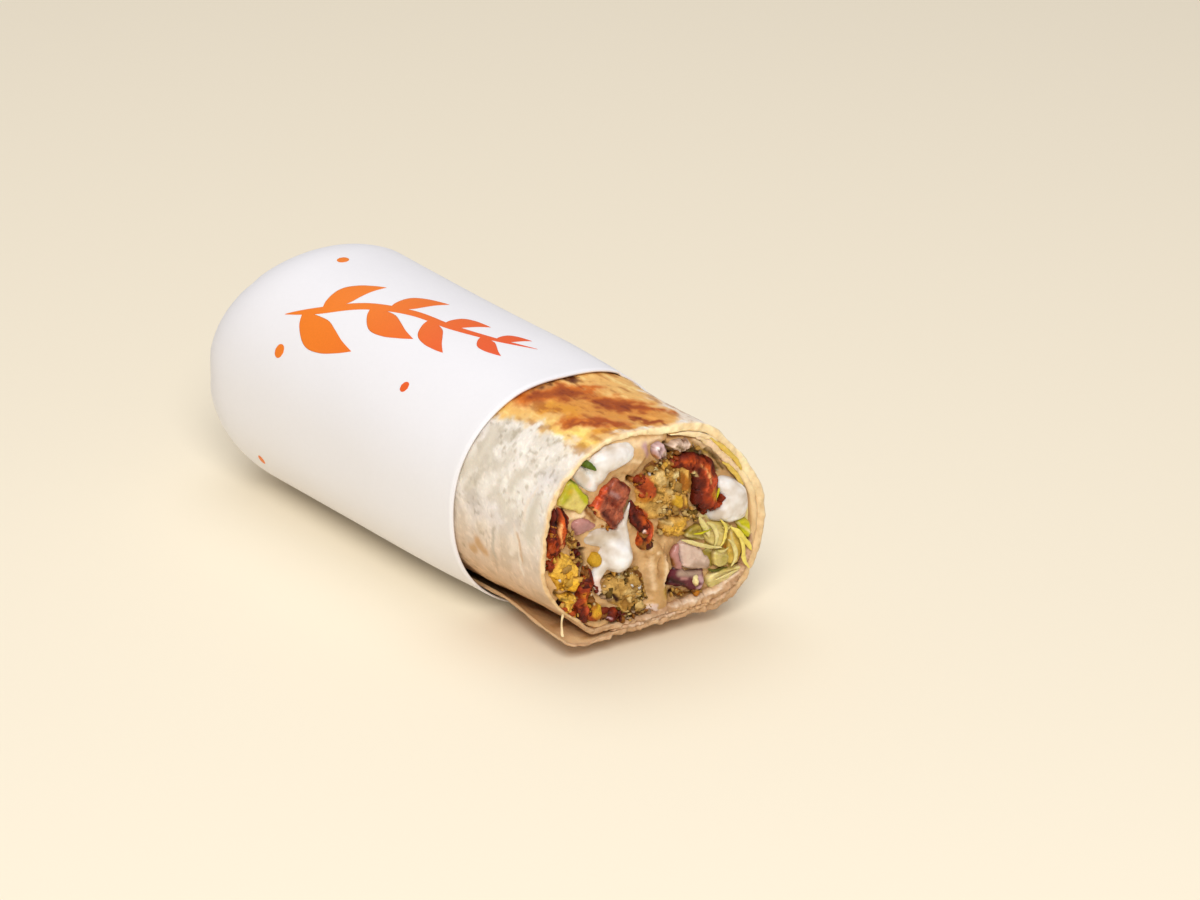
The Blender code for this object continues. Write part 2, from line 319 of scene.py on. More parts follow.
def stroke_mask(x, z, path, soft):
    """1 inside a stroke and 0 outside, with a soft edge."""
    margin = np.full(np.shape(x), 1e3)
    for start, end in zip(path, path[1:] or path):
        run = np.array(end[:2]) - np.array(start[:2])
        length = max(run @ run, 1e-9)
        share = np.clip(((x - start[0]) * run[0] + (z - start[1]) * run[1]) / length, 0.0, 1.0)
        width = start[2] + (end[2] - start[2]) * share
        away = np.hypot(x - start[0] - run[0] * share, z - start[1] - run[1] * share)
        margin = np.minimum(margin, away - width / 2)
    return smooth(0.5 - margin / (2 * soft))


def tinted(share, dark, light):
    """Colour multiplier between a dark and a light tint, for a share from 0 to 1."""
    return mix(np.array(dark), np.array(light), np.clip(share, 0.0, 1.0))


def crumb_grain(points, seed):
    """Fried crumb: fine uneven grains over soft lumps, with pits darkened as painted shade and a few bright specks."""
    lumps = fractal(points, 3.4, seed + 20, 5)
    rough = fractal(points, 1.1, seed + 25, 3)
    near, _, chance = cells(points + 0.3 * rough[..., None], 0.7, seed + 10)
    pit = smooth((-fractal(points, 2.4, seed + 30, 4) - 0.3) / 0.3)
    height = 0.6 * lumps + 0.24 * rough + 0.2 * (0.5 - near) - 0.5 * pit
    speck = smooth((chance - 0.86) / 0.1)
    share = 0.58 + 0.34 * lumps + 0.26 * rough + 0.34 * (chance - 0.5) - 0.6 * pit + 0.3 * speck
    return height, tinted(share, (0.44, 0.35, 0.2), (1.38, 1.46, 1.7))


def crust_grain(points, seed):
    """Fried crust: wrinkles, pits and small bright flakes."""
    stretched = points * np.array((1.7, 0.8, 0.8))
    wrinkle = fractal(stretched, 1.9, seed, 4)
    ridge = 1.0 - np.abs(fractal(stretched, 1.1, seed + 9, 3)) * 2.2
    near, _, chance = cells(stretched, 0.7, seed + 15)
    height = 0.46 * wrinkle + 0.24 * ridge + 0.2 * (0.5 - near)
    share = 0.4 + 0.5 * wrinkle + 0.24 * ridge + 0.4 * (chance - 0.5)
    return height, tinted(share, (0.34, 0.2, 0.12), (1.85, 2.0, 2.1))


def flesh_grain(points, seed):
    """Wet cut flesh: faint layers and a fine even grain."""
    height = 0.12 * fractal(points, 1.1, seed, 3)
    return height, tinted(0.5 + 2.2 * height, (0.8, 0.74, 0.72), (1.2, 1.26, 1.28))


def pulp_grain(points, seed):
    """Tomato flesh: wet grains with small bright seeds of light."""
    near, _, chance = cells(points, 0.8, seed)
    lumps = fractal(points, 2.2, seed + 5, 4)
    height = 0.45 * (0.5 - near) + 0.4 * lumps
    share = 0.5 + 0.7 * (chance - 0.5) + 0.42 * lumps
    return height, tinted(share, (0.55, 0.42, 0.4), (1.45, 1.6, 1.6))


def soft_grain(points, seed):
    """Spread: soft folds and faint stains."""
    height = 0.34 * fractal(points, 3.4, seed, 3) + 0.1 * fractal(points, 1.1, seed + 3, 2)
    share = 0.5 + 0.45 * fractal(points, 2.4, seed + 7, 4) + 0.9 * height
    return height, tinted(share, (0.8, 0.74, 0.66), (1.18, 1.24, 1.32))


def crumple_grain(points, seed):
    """Crumpled bread: creases in two sizes, darkened as painted shade."""
    crease = np.abs(fractal(points, 2.4, seed, 3)) + 0.8 * np.abs(fractal(points, 0.9, seed + 5, 2))
    return 0.6 * crease, tinted(0.9 * crease, (0.72, 0.62, 0.52), (1.24, 1.32, 1.4))


def leaf_grain(points, seed):
    """Leaf: faint ribs and paler patches."""
    ribs = fractal(points * np.array((0.5, 1.0, 1.6)), 1.2, seed, 3)
    patch = fractal(points, 2.6, seed + 5, 3)
    return 0.14 * ribs, tinted(0.5 + 0.3 * ribs + 0.3 * patch, (0.78, 0.8, 0.62), (1.22, 1.2, 1.4))


def dress(points, tone, marks, grain, seed, wander=0.22):
    """Height, colour and gloss of a surface that shows at the cut."""
    x = points[..., 0] + wander * fractal(points, 1.1, seed + 31, 3)
    z = points[..., 2] + wander * fractal(points, 1.1, seed + 47, 3)
    # The grain's tint is its own uneven tone together with painted shade and light: darker in its hollows, lighter on
    # its raised parts.
    height, shade = grain(points, seed)
    colour = np.broadcast_to(TONES[tone], points.shape).copy()
    gloss = np.zeros(points.shape[:-1])
    for item in marks:
        mask = stroke_mask(x, z, item.path, item.soft)
        colour = mix(colour, TONES[item.tone], mask)
        height = height * (1.0 - item.calm * mask) + item.rise * mask
        shade = shade + (1.0 - shade) * (0.6 * item.calm * mask)[..., None]
        gloss = gloss + (item.gloss - gloss) * mask
    return height, colour * shade, gloss


# --- Meshes ---


def grid_faces(rows, columns, wrap=False, start=0):
    """Quads of a grid of points, closed round its columns if `wrap` is set."""
    last = columns if wrap else columns - 1
    row, column = np.meshgrid(np.arange(rows - 1), np.arange(last), indexing="ij")
    after = (column + 1) % columns
    corners = (row * columns + column, row * columns + after)
    behind = ((row + 1) * columns + after, (row + 1) * columns + column)
    return (np.stack([*corners, *behind], -1).reshape(-1, 4) + start).tolist()


def fan_faces(row, tip, count):
    return [(row + index, row + (index + 1) % count, tip) for index in range(count)]


def kept_inside(points):
    """Draw points that would come through the bread back under its skin, or its inner turn's at the flap."""
    x, y, z = np.moveaxis(points, -1, 0)
    along = np.maximum(y - CUT_SKEW * x, 0.0)
    height = z - centre_height(along)
    angle = np.arctan2(height, x)
    turned = (np.degrees(angle) - FLAP_ANGLE) % 360.0
    inset = np.where(turned < FLAP_REACH, LAYER_PITCH, layer_inset(turned))
    limit = radius(angle, along, -BREAD_COVER - inset)
    shrink = np.minimum(limit / (np.hypot(x, height) + 1e-9), 1.0)
    return np.stack([x * shrink, y, z + height * (shrink - 1.0)], -1)


class Body:
    """Points, faces, colours and gloss that become one piece."""

    def __init__(self, filling=True):
        self.filling = filling
        self.points = np.zeros((0, 3))
        self.colours = np.zeros((0, 3))
        self.gloss = np.zeros(0)
        self.faces = []

    def add(self, points, faces, colours, gloss=0.0):
        """Add a closed surface. Its faces count its own points from 0."""
        start = len(self.points)
        points = np.reshape(points, (-1, 3))
        if self.filling:
            points = kept_inside(points)
        self.points = np.concatenate([self.points, points])
        self.colours = np.concatenate([self.colours, np.broadcast_to(colours, points.shape)])
        self.gloss = np.concatenate([self.gloss, np.broadcast_to(gloss, len(points))])
        self.faces.extend(tuple(start + corner for corner in face) for face in faces)

    def build(self, name, material, slot, *nodes):
        """Make the piece, which stands for the named CAD nodes."""
        mesh = bpy.data.meshes.new(name)
        mesh.from_pydata(((self.points + SHIFT) * MM).tolist(), [], self.faces)
        outward(mesh)
        paint = mesh.attributes.new("paint", "FLOAT_COLOR", "POINT")
        opaque = np.ones((len(self.points), 1))
        colours = np.clip(np.concatenate([self.colours, opaque], 1), 0.0, 1.0)
        paint.data.foreach_set("color", colours.astype(np.float32).ravel())
        gloss = mesh.attributes.new("gloss", "FLOAT", "POINT")
        gloss.data.foreach_set("value", self.gloss.astype(np.float32))
        return finish_piece(name, mesh, material, nodes)


def outward(mesh):
    """Turn all faces outwards."""
    shape = bmesh.new()
    shape.from_mesh(mesh)
    bmesh.ops.recalc_face_normals(shape, faces=shape.faces)
    shape.to_mesh(mesh)
    shape.free()


def finish_piece(name, mesh, material, nodes):
    mesh.materials.append(material)
    mesh.shade_smooth()
    piece = bpy.data.objects.new(name, mesh)
    bpy.context.scene.collection.objects.link(piece)
    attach(piece, "root")
    if nodes:
        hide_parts(*nodes)
    return piece


def curve_through(places, spacing, closed=False):
    """Evenly spaced points on a smooth curve through a few given ones."""
    places = np.array(places, float)
    count = len(places)
    spans = count if closed else count - 1
    if closed:
        before, start, end, after = (np.roll(places, -step, 0) for step in (-1, 0, 1, 2))
    else:
        padded = np.concatenate([places[:1], places, places[-1:]])
        before, start, end, after = (padded[step : step + spans] for step in range(4))
    t = np.linspace(0.0, 1.0, 24, endpoint=False)[None, :, None]
    before, start, end, after = (item[:, None, :] for item in (before, start, end, after))
    curve = 0.5 * (
        2 * start
        + (end - before) * t
        + (2 * before - 5 * start + 4 * end - after) * t**2
        + (3 * start - before - 3 * end + after) * t**3
    )
    curve = curve.reshape(-1, places.shape[1])
    curve = np.concatenate([curve, places[:1] if closed else places[-1:]])
    steps = np.linalg.norm(np.diff(curve[:, :2], axis=0), axis=1)
    travelled = np.concatenate([[0.0], np.cumsum(steps)])
    number = max(int(round(travelled[-1] / spacing)), 6)
    wanted = np.linspace(0.0, travelled[-1], number, endpoint=not closed)
    return np.stack([np.interp(wanted, travelled, column) for column in curve.T], -1)


def painted_crevice_shade(openness, crevice_shade):
    """Painted shade for a surface that goes down between its neighbours: a tint, darkest where openness is 0 and none
    where it is 1.
    """
    dark = 1.0 - crevice_shade * np.array((0.8, 1.0, 1.2))
    return tinted(smooth(openness), np.clip(dark, 0.05, 1.0), (1.0, 1.0, 1.0))


def wander_by(places, seed):
    """Small sideways moves, in x and z, for places on the cut."""
    spots = np.stack([places[:, 0], 0.0 * places[:, 0], places[:, 1]], -1)
    return np.stack([fractal(spots, 1.6, seed + 60, 3), fractal(spots, 1.6, seed + 70, 3)], -1)


def add_lump(body, outline, tone, marks=(), grain=crumb_grain, rise=0.6, depth=2.2, edge=5.0, seed=1,
             spacing=0.24, end=None, slant=(0.0, 0.0), ragged=0.3, crevice_shade=0.5):
    """Filling seen on the cut: a rounded front that goes back into the roll.

    `outline` holds (x, z) places anticlockwise. The front stands `rise` proud of the cut plane, its
    edge rounds off over `depth`, and the body behind it ends at `end` along the roll. `slant` tips
    it across and upwards, `ragged` is how far its outline wanders, and the crevice setting paints shade on its rim.
    """
    rim = curve_through(outline, spacing, closed=True)
    rim += ragged * wander_by(rim, seed)
    middle = rim.mean(0)
    size = np.linalg.norm(rim - middle, axis=1).mean()
    rings = max(int(size / spacing), 6)
    share = (np.arange(1, rings + 1) / rings)[:, None, None]
    flat = middle + (rim - middle) * share
    up = np.clip(1.0 - share[..., 0] ** edge, 0.0, 1.0) ** 0.5
    along = depth - (depth + rise) * up * np.ones(len(rim))
    along += (flat - middle) @ np.array(slant)
    points = np.stack([flat[..., 0], along, flat[..., 1]], -1)
    height, colour, gloss = dress(points, tone, marks, grain, seed)
    points[..., 1] -= height * smooth(up * 1.6)
    # Painted shade: the rim darkens where the front rounds down into its crevice.
    colour = colour * painted_crevice_shade(up * 1.5 * np.ones(len(rim)), crevice_shade)
    tip = np.array((middle[0], points[0, :, 1].mean(), middle[1]))
    stop = depth + 3.0 if end is None else end
    tail_rows = [row for row in (depth + 1.5, 12.0, 32.0, 62.0, 90.0) if row < stop] + [stop]
    front = sheared(points[..., 0], points[..., 1], points[..., 2])
    tail = [follow_roll(rim[:, 0], rim[:, 1], np.full(len(rim), row)) for row in tail_rows]
    back = follow_roll(middle[:1], middle[1:], np.array([stop]))
    shape = np.concatenate([front.reshape(-1, 3), *tail, sheared(*tip)[None], back])
    columns = len(rim)
    rows = rings + len(tail)
    colours = np.concatenate([colour.reshape(-1, 3), np.tile(colour[-1], (len(tail), 1)), colour[0, :2]])
    glosses = np.concatenate([gloss.ravel(), np.tile(gloss[-1], len(tail)), gloss[0, :2]])
    faces = grid_faces(rows, columns, wrap=True)
    faces += fan_faces(0, rows * columns, columns)
    faces += fan_faces((rows - 1) * columns, rows * columns + 1, columns)
    body.add(shape, faces, colours, glosses)


def tube_section(line, columns, flat):
    """Sideways places of a tube's points round a line, the angle of each, and how far its ends close."""
    run = np.gradient(line[:, :2], axis=0)
    run /= np.linalg.norm(run, axis=1)[:, None] + 1e-9
    turn = np.arange(columns) / columns * math.tau
    share = np.linspace(0.0, 1.0, len(line))[:, None]
    ends = np.sqrt(np.clip(1.0 - np.abs(2 * share - 1) ** 12, 0.0, 1.0)) * 0.96 + 0.04
    across = line[:, 2:] / 2 * ends * np.sign(np.cos(turn)) * np.abs(np.cos(turn)) ** flat
    return line[:, :1] - run[:, 1:] * across, line[:, 1:2] + run[:, :1] * across, turn, ends


def closed_tube(rows, columns):
    """Faces of a tube, with its two tips after the grid's points."""
    faces = grid_faces(rows, columns, wrap=True)
    faces += fan_faces(0, rows * columns, columns)
    faces += fan_faces((rows - 1) * columns, rows * columns + 1, columns)
    return faces


def add_rib(body, path, tone, marks=(), grain=crust_grain, depth=2.4, lift=0.0, seed=1, spacing=0.24,
            flat=1.0, tilt=0.0, ragged=0.3, crevice_shade=0.5):
    """Filling that lies along a stroke on the cut: (x, z, width) places and a rounded section."""
    line = curve_through(path, spacing)
    line[:, :2] += 0.6 * ragged * wander_by(line, seed)
    columns = max(int(math.pi * line[:, 2].max() / spacing / 2), 10)
    x, z, turn, ends = tube_section(line, columns, flat)
    half = line[:, 2:] / 2 * ends
    outwards = np.minimum(half, depth / 2) * np.sin(turn)
    outwards = outwards + tilt * half * np.cos(turn)
    points = np.stack([x, -lift - outwards, z], -1)
    for axis, offset in ((0, 80), (2, 90)):
        points[..., axis] += ragged * fractal(points, 1.5, seed + offset, 3)
    height, colour, gloss = dress(points, tone, marks, grain, seed)
    points[..., 1] -= height * ends * np.maximum(np.sin(turn), 0.0)
    # Painted shade: darker where the tube's section turns back into the cut.
    colour = colour * painted_crevice_shade(0.1 + 1.5 * np.sin(turn) * np.ones_like(x), crevice_shade)
    shape = sheared(points[..., 0], points[..., 1], points[..., 2])
    tips = np.stack([shape[0].mean(0), shape[-1].mean(0)])
    faces = closed_tube(len(line), columns)
    colours = np.concatenate([colour.reshape(-1, 3), colour[0, :1], colour[-1, :1]])
    glosses = np.concatenate([gloss.ravel(), gloss[0, :1], gloss[-1, :1]])
    body.add(np.concatenate([shape.reshape(-1, 3), tips]), faces, colours, glosses)


# --- Materials ---


def set_input(shader, name, value):
    shader.inputs[name].default_value = value


def painted_material(name, roughness, grain_size=0.5, grain_depth=0.25, scatter=0.0, radius=(1.0, 0.6, 0.4),
                     shine=0.3, wet=0.25, mottle=0.12):
    """Food finish: the painted colour with a fine mottle, grain as bump, and glossy where painted so.

    Sizes are in millimetres. `scatter` is how much light goes under the surface, and `shine` how
    strongly it reflects.
    """
    material = bpy.data.materials.new(name)
    material.use_nodes = True
    tree = material.node_tree
    shader = tree.nodes["Principled BSDF"]
    paint = tree.nodes.new("ShaderNodeAttribute")
    paint.attribute_name = "paint"
    gloss = tree.nodes.new("ShaderNodeAttribute")
    gloss.attribute_name = "gloss"
    place = tree.nodes.new("ShaderNodeTexCoord")
    noise = tree.nodes.new("ShaderNodeTexNoise")
    set_input(noise, "Scale", 1.0 / (grain_size * MM))
    set_input(noise, "Detail", 4.0)
    set_input(noise, "Roughness", 0.6)
    tree.links.new(place.outputs["Object"], noise.inputs["Vector"])
    darker = tree.nodes.new("ShaderNodeMapRange")
    set_input(darker, "From Min", 0.25)
    set_input(darker, "From Max", 0.75)
    set_input(darker, "To Min", 1.0 - mottle)
    set_input(darker, "To Max", 1.0 + mottle)
    tree.links.new(noise.outputs["Fac"], darker.inputs["Value"])
    colour = tree.nodes.new("ShaderNodeVectorMath")
    colour.operation = "SCALE"
    tree.links.new(paint.outputs["Color"], colour.inputs[0])
    tree.links.new(darker.outputs["Result"], colour.inputs["Scale"])
    tree.links.new(colour.outputs["Vector"], shader.inputs["Base Color"])
    rough = tree.nodes.new("ShaderNodeMapRange")
    set_input(rough, "To Min", roughness)
    set_input(rough, "To Max", wet)
    tree.links.new(gloss.outputs["Fac"], rough.inputs["Value"])
    tree.links.new(rough.outputs["Result"], shader.inputs["Roughness"])
    bump = tree.nodes.new("ShaderNodeBump")
    set_input(bump, "Strength", 1.0)
    set_input(bump, "Distance", grain_depth * MM)
    tree.links.new(noise.outputs["Fac"], bump.inputs["Height"])
    tree.links.new(bump.outputs["Normal"], shader.inputs["Normal"])
    if scatter:
        set_input(shader, "Subsurface Weight", scatter)
        set_input(shader, "Subsurface Radius", radius)
        set_input(shader, "Subsurface Scale", 1.2 * MM)
    set_input(shader, "Specular IOR Level", shine)
    return material


# --- Paper sleeve ---

SEAM_ANGLE = math.radians(58.0)  # where the outer lap of the paper ends
SEAM_STEP = 0.4
PLEATS = 7


def paper_outward(angle, along, share):
    """How far the paper stands off the bread: a lap seam, soft dents, and pleats on the closed end."""
    lap = (angle - SEAM_ANGLE) / math.tau % 1.0
    step = SEAM_STEP * smooth((1.0 - lap) / 0.7) * smooth(lap / 0.004)
    places = np.stack([30 * np.cos(angle), along * 0.6, 30 * np.sin(angle)], -1)
    dents = 0.3 * fractal(places, 26.0, 5, 2) + 0.05 * fractal(places, 7.0, 9, 2)
    wave = np.abs(((angle / math.tau * PLEATS + 0.15 * np.sin(3 * angle)) % 1.0) - 0.5) * 2.0
    pleat = -0.9 * (1.0 - smooth(wave / 0.35)) * smooth((share - 0.25) / 0.5)
    return step + dents * smooth((along - SLEEVE_RIM) / 10.0) + pleat


def sleeve_rows():
    """Places along the sleeve as (along, narrow, flatten, share of the dome)."""
    straight = [(along, 1.0, 1.0, 0.0) for along in np.linspace(SLEEVE_RIM, DOME_START, 60)]
    depth = LENGTH - GAP - SLEEVE_WALL - DOME_START
    dome = []
    for step in range(1, 40):
        forward = math.sin(math.pi / 2 * step / 40)
        narrow = (1.0 - forward**DOME_WIDTH_POWER) ** (1.0 / DOME_WIDTH_POWER)
        flatten = (1.0 - forward**DOME_HEIGHT_POWER) ** (1.0 / DOME_HEIGHT_POWER)
        dome.append((DOME_START + depth * forward, narrow, flatten, step / 40))
    return np.array(straight + dome)


def paper_surface(angle, row, outward):
    """Points of the paper's face at rows from sleeve_rows."""
    along, narrow, flatten, share = (row[:, index, None] for index in range(4))
    rim_wave = 0.35 * np.sin(2 * angle + 0.6) * smooth(1.0 - (along - SLEEVE_RIM) / 12.0)
    stand_off = outward + paper_outward(angle + 0 * along, along + 0 * angle, share)
    reach = radius(angle + 0 * along, along + 0 * angle, 0.0)
    points = roll_point(angle, along + rim_wave, reach, narrow, flatten)
    middle = roll_point(angle, along, 0.0 * reach, narrow, flatten)
    normal = np.cross(np.gradient(points, axis=0), np.roll(points, -1, 1) - np.roll(points, 1, 1))
    normal /= np.linalg.norm(normal, axis=-1)[..., None] + 1e-9
    facing = np.sign(np.sum(normal * (points - middle), -1).mean())
    return points + facing * normal * stand_off[..., None]


def paper_material():
    material = bpy.data.materials.new("paper")
    material.use_nodes = True
    tree = material.node_tree
    shader = tree.nodes["Principled BSDF"]
    place = tree.nodes.new("ShaderNodeTexCoord")
    fibre = tree.nodes.new("ShaderNodeTexNoise")
    set_input(fibre, "Scale", 900.0)
    set_input(fibre, "Detail", 6.0)
    tree.links.new(place.outputs["Object"], fibre.inputs["Vector"])
    ramp = tree.nodes.new("ShaderNodeMix")
    ramp.data_type = "RGBA"
    ramp.inputs["A"].default_value = (*(TONES["paper"] * 0.985), 1.0)
    ramp.inputs["B"].default_value = (*np.minimum(TONES["paper"] * 1.015, 1.0), 1.0)
    tree.links.new(fibre.outputs["Fac"], ramp.inputs["Factor"])
    tree.links.new(ramp.outputs["Result"], shader.inputs["Base Color"])
    bump = tree.nodes.new("ShaderNodeBump")
    set_input(bump, "Strength", 0.5)
    set_input(bump, "Distance", 0.03 * MM)
    tree.links.new(fibre.outputs["Fac"], bump.inputs["Height"])
    tree.links.new(bump.outputs["Normal"], shader.inputs["Normal"])
    set_input(shader, "Roughness", 0.5)
    set_input(shader, "Subsurface Weight", 0.15)
    set_input(shader, "Subsurface Radius", (1.0, 1.0, 1.0))
    set_input(shader, "Subsurface Scale", 0.6 * MM)
    return material


def make_sleeve(material):
    angle = np.radians(np.arange(0.0, 360.0, 2.0))[None, :]
    rows = sleeve_rows()
    tip_along = LENGTH - GAP - SLEEVE_WALL
    body = Body(filling=False)
    points = []
    faces = []
    size = len(rows) * angle.shape[1]
    for side, outward_by in enumerate((GAP + SLEEVE_WALL, GAP)):
        surface = paper_surface(angle, rows, outward_by)
        tip = roll_point(0.0, tip_along + outward_by, 0.0)
        points.extend([surface.reshape(-1, 3), tip.reshape(1, 3)])
        start = side * (size + 1)
        faces += grid_faces(len(rows), angle.shape[1], wrap=True, start=start)
        faces += fan_faces(start + size - angle.shape[1], start + size, angle.shape[1])
    count = angle.shape[1]
    inner = size + 1
    faces += [(i, (i + 1) % count, inner + (i + 1) % count, inner + i) for i in range(count)]
    body.add(np.concatenate(points), faces, TONES["paper"])
    return body.build("paper_sleeve_shell", material, "paper", "paper_sleeve")


def paper_point(angle, along, outward):
    """Place over the paper's straight length."""
    step = 0.02

    def skin(turned, place):
        return roll_point(turned, place, radius(turned, place, 0.0))

    across = skin(angle + step, along) - skin(angle - step, along)
    lengthwise = skin(angle, along + step) - skin(angle, along - step)
    normal = np.cross(lengthwise, across)
    normal /= np.linalg.norm(normal, axis=-1)[..., None]
    lift = outward + paper_outward(angle, along, 0.0 * along)
    return skin(angle, along) + normal * lift[..., None]


PRINT_RADIUS = 30.0  # turns degrees round the roll into millimetres of paper

# Printed sprig: its stem as (degrees round the roll, millimetres along it, width), and its leaves as
# (share of the stem, side, length, width).
SPRIG_STEM = (
    (137, 113, 0.6), (128, 104, 2.2), (114, 93, 2.5), (105, 81, 2.3), (101, 68, 2.0), (94, 56, 1.6), (84, 47, 0.5),
)
SPRIG_LEAVES = (
    (0.08, 1, 24.0, 8.0), (0.15, -1, 17.0, 7.0), (0.34, 1, 21.0, 7.2), (0.40, -1, 15.0, 6.2),
    (0.58, 1, 17.0, 6.0), (0.64, -1, 12.0, 5.2), (0.80, 1, 12.0, 4.4), (0.85, -1, 9.0, 4.0),
)
SPRIG_DOTS = ((152, 108, 3.2), (96, 117, 3.0), (140, 62, 2.6), (210, 116.5, 2.4))


def leaf_stroke(stem, share, side, length, width):
    """Lens-shaped leaf that leaves the stem at an angle and bends forward."""
    spot = int(share * (len(stem) - 1))
    forward = stem[spot + 1, :2] - stem[spot, :2]
    forward /= np.linalg.norm(forward)
    sideways = side * np.array((-forward[1], forward[0]))
    stroke = []
    for reach, swell in ((0.0, 0.08), (0.16, 0.6), (0.4, 1.0), (0.62, 0.8), (0.82, 0.4), (1.0, 0.04)):
        away = (0.74 * reach - 0.2 * reach**2) * sideways + (0.55 * reach + 0.25 * reach**2) * forward
        stroke.append((*(stem[spot, :2] + length * away), width * swell))
    return stroke


def dot_stroke(degrees, along, size):
    across = math.radians(degrees) * PRINT_RADIUS
    shares = np.sin(np.linspace(-math.pi / 2, math.pi / 2, 9))
    return [(across, along + share * size / 2, size * math.sqrt(1.0 - share**2) + 0.05) for share in shares]


def make_print(material):
    """Flat strokes of ink, a hair thicker than the paper, that shade from orange to red."""
    body = Body(filling=False)
    stem = curve_through([(math.radians(spot[0]) * PRINT_RADIUS, *spot[1:]) for spot in SPRIG_STEM], 0.6)
    strokes = [stem]
    strokes += [leaf_stroke(stem, *leaf) for leaf in SPRIG_LEAVES]
    strokes += [dot_stroke(*dot) for dot in SPRIG_DOTS]
    for stroke in strokes:
        line = curve_through(stroke, 0.3)
        x, z, turn, ends = tube_section(line, 20, 1.0)
        lift = GAP + SLEEVE_WALL + 0.015 + 0.05 * np.sin(turn) * ends
        points = paper_point(x / PRINT_RADIUS, z, lift)
        tips = np.stack([points[0].mean(0), points[-1].mean(0)])
        colour = mix(TONES["print_deep"], TONES["print"], smooth((z - 45.0) / 60.0))
        colours = np.concatenate([colour.reshape(-1, 3), colour[0, :1], colour[-1, :1]])
        body.add(np.concatenate([points.reshape(-1, 3), tips]), closed_tube(len(line), 20), colours)
    return body.build("sleeve_print", material, "paper")


# --- Flatbread ---


def layer_inset(turned):
    return LAYER_PITCH * smooth((turned - 360.0 + TUCK_ANGLE) / TUCK_ANGLE)


def flap_stand_off(along, turned):
    return FLAP_STAND_OFF * smooth(1.0 - along / SLEEVE_RIM) * smooth(1.0 - turned / FLAP_SPREAD)


def bread_thickness(turned):
    """Thin flap and left side, thicker where two turns press together, thin again on the inner turn."""
    pressed = smooth((turned - 35.0) / 45.0) * smooth((238.0 - turned) / 24.0)
    inner = smooth((turned - 380.0) / 60.0)
    return BREAD_THICKNESS + 0.96 * pressed + 0.3 * inner


EDGE_SHARES = (0.14, 0.38, 0.62, 0.86)  # of the bread's thickness, across its cut edge
ARC = 29.0 * math.pi / 180.0  # millimetres of bread skin for each degree round the roll

# Toasted patches on the outer turn: (degrees round the roll, millimetres along it, width). The two darkest by the
# sleeve's rim are also painted shadow.
TOAST = (
    mark("toast_yellow", (122, 33, 8), (119, 24, 6), (118, 14, 8), (120, 7, 6), (120, 1, 7), soft=2.2),
    mark("toast_tan", (88, 34, 40), (90, 20, 34), (92, 9, 26), (96, 2, 22), soft=2.6),
    mark("toast_amber", (106, 24, 8), (98, 18, 14), (90, 12, 15), (84, 6, 10), soft=3.0),
    mark("toast_orange", (114, 30, 7), (104, 27.5, 9), (94, 26, 7), (84, 26, 3), soft=2.2),
    mark("toast_gold", (114, 23, 4), (110, 18, 5), (113, 14, 4), soft=1.8),
    mark("toast_orange", (117, 15, 3), (110, 10, 6), (102, 5, 4), soft=1.8),
    mark("toast_gold", (114, 5, 3), (108, 2.6, 3), (100, 1.6, 2.4), soft=1.2),
    # Toasted brown that darkens into painted shadow towards the sleeve's rim.
    mark("toast_brown", (112, 30, 3), (104, 26.4, 5.0), (97, 23.6, 4.4), soft=1.5),
    mark("toast_in_shadow", (108, 33.5, 2), (96, 33, 2.4), (86, 32.5, 2), soft=1.2),
    mark("toast_brown", (116, 12.8, 1.8), (112, 10, 2.4), (109, 8, 1.2), soft=1.0),
    mark("toast_orange", (93, 19, 5), (87, 15, 9), (78, 11, 6), (72, 8, 3), soft=2.0),
    mark("toast_brown", (94, 17.6, 5.0), (88, 14.8, 8.0), (80, 12, 4.0), soft=1.6),
    mark("toast_brown", (92, 7.6, 1.6), (88, 5.0, 2.8), (83, 2.4, 1.6), soft=1.0),
    mark("bread_light", (64, 1, 7), (60, 8, 7), (54, 18, 10), soft=2.4),
    mark("bread_light", (108, 0.2, 1.2), (96, 0.2, 1.4), (86, 0.2, 1.2), soft=1.2),
)
BREAD_SPOTS = (
    mark("bread_tan", (192.5, 27, 2.4), (191, 26, 2.0), soft=0.7),
    mark("bread_tan", (190.5, 22, 2.2), (187.5, 24, 3.0), soft=0.9),
    # A crease: a painted highlight along its ridge and painted shade in its fold.
    mark("bread_light", (170, 10.4, 0.6), (180, 8.8, 0.9), (192, 7.8, 0.6), soft=0.4),
    mark("bread_tan", (173, 9.2, 0.4), (184, 7.6, 0.5), soft=0.4),
    mark("bread_light", (150, 6.4, 0.8), (160, 8.0, 0.9), (166, 7.4, 0.6), soft=0.5),
    mark("bread_fleck", (176, 17.6, 0.6), (183, 18.6, 0.8), (190, 18.0, 0.5), soft=0.6),
    mark("bread_fleck", (134, 23, 1.2), (131, 22, 0.8), soft=0.6),
    mark("bread_fleck", (141, 22.4, 0.9), soft=0.5),
    mark("bread_fleck", (130, 10.6, 1.0), (128, 9.6, 0.7), soft=0.6),
    mark("bread_fleck", (150, 29.5, 1.6), (143, 28.4, 1.8), (137, 30.0, 1.4), soft=1.0),
    mark("bread_shade", (158, 31.5, 4), (150, 28.5, 3), (143, 28, 3), (137, 29, 3), soft=1.4),
    mark("bread_shade", (170, 5, 4), (162, 5, 3), (154, 4.6, 2.4), soft=1.4),
    mark("bread_shade", (156, 15, 2), (150, 14, 3), (146, 12, 2), soft=1.4),
    mark("bread_light", (184, 12, 1.4), (180, 10.4, 2.0), (176, 11.6, 1.4), soft=0.6),
)


def skin_marks(angle, along, points, colour, marks, wander):
    """Lay strokes given in degrees and millimetres on the bread's skin."""
    u = angle * ARC + wander * fractal(points, 2.6, 61, 4)
    v = along + wander * fractal(points, 2.6, 83, 4)
    for item in marks:
        path = [(degrees * ARC, place, width) for degrees, place, width in item.path]
        colour = mix(colour, TONES[item.tone], stroke_mask(u, v, path, item.soft))
    return colour


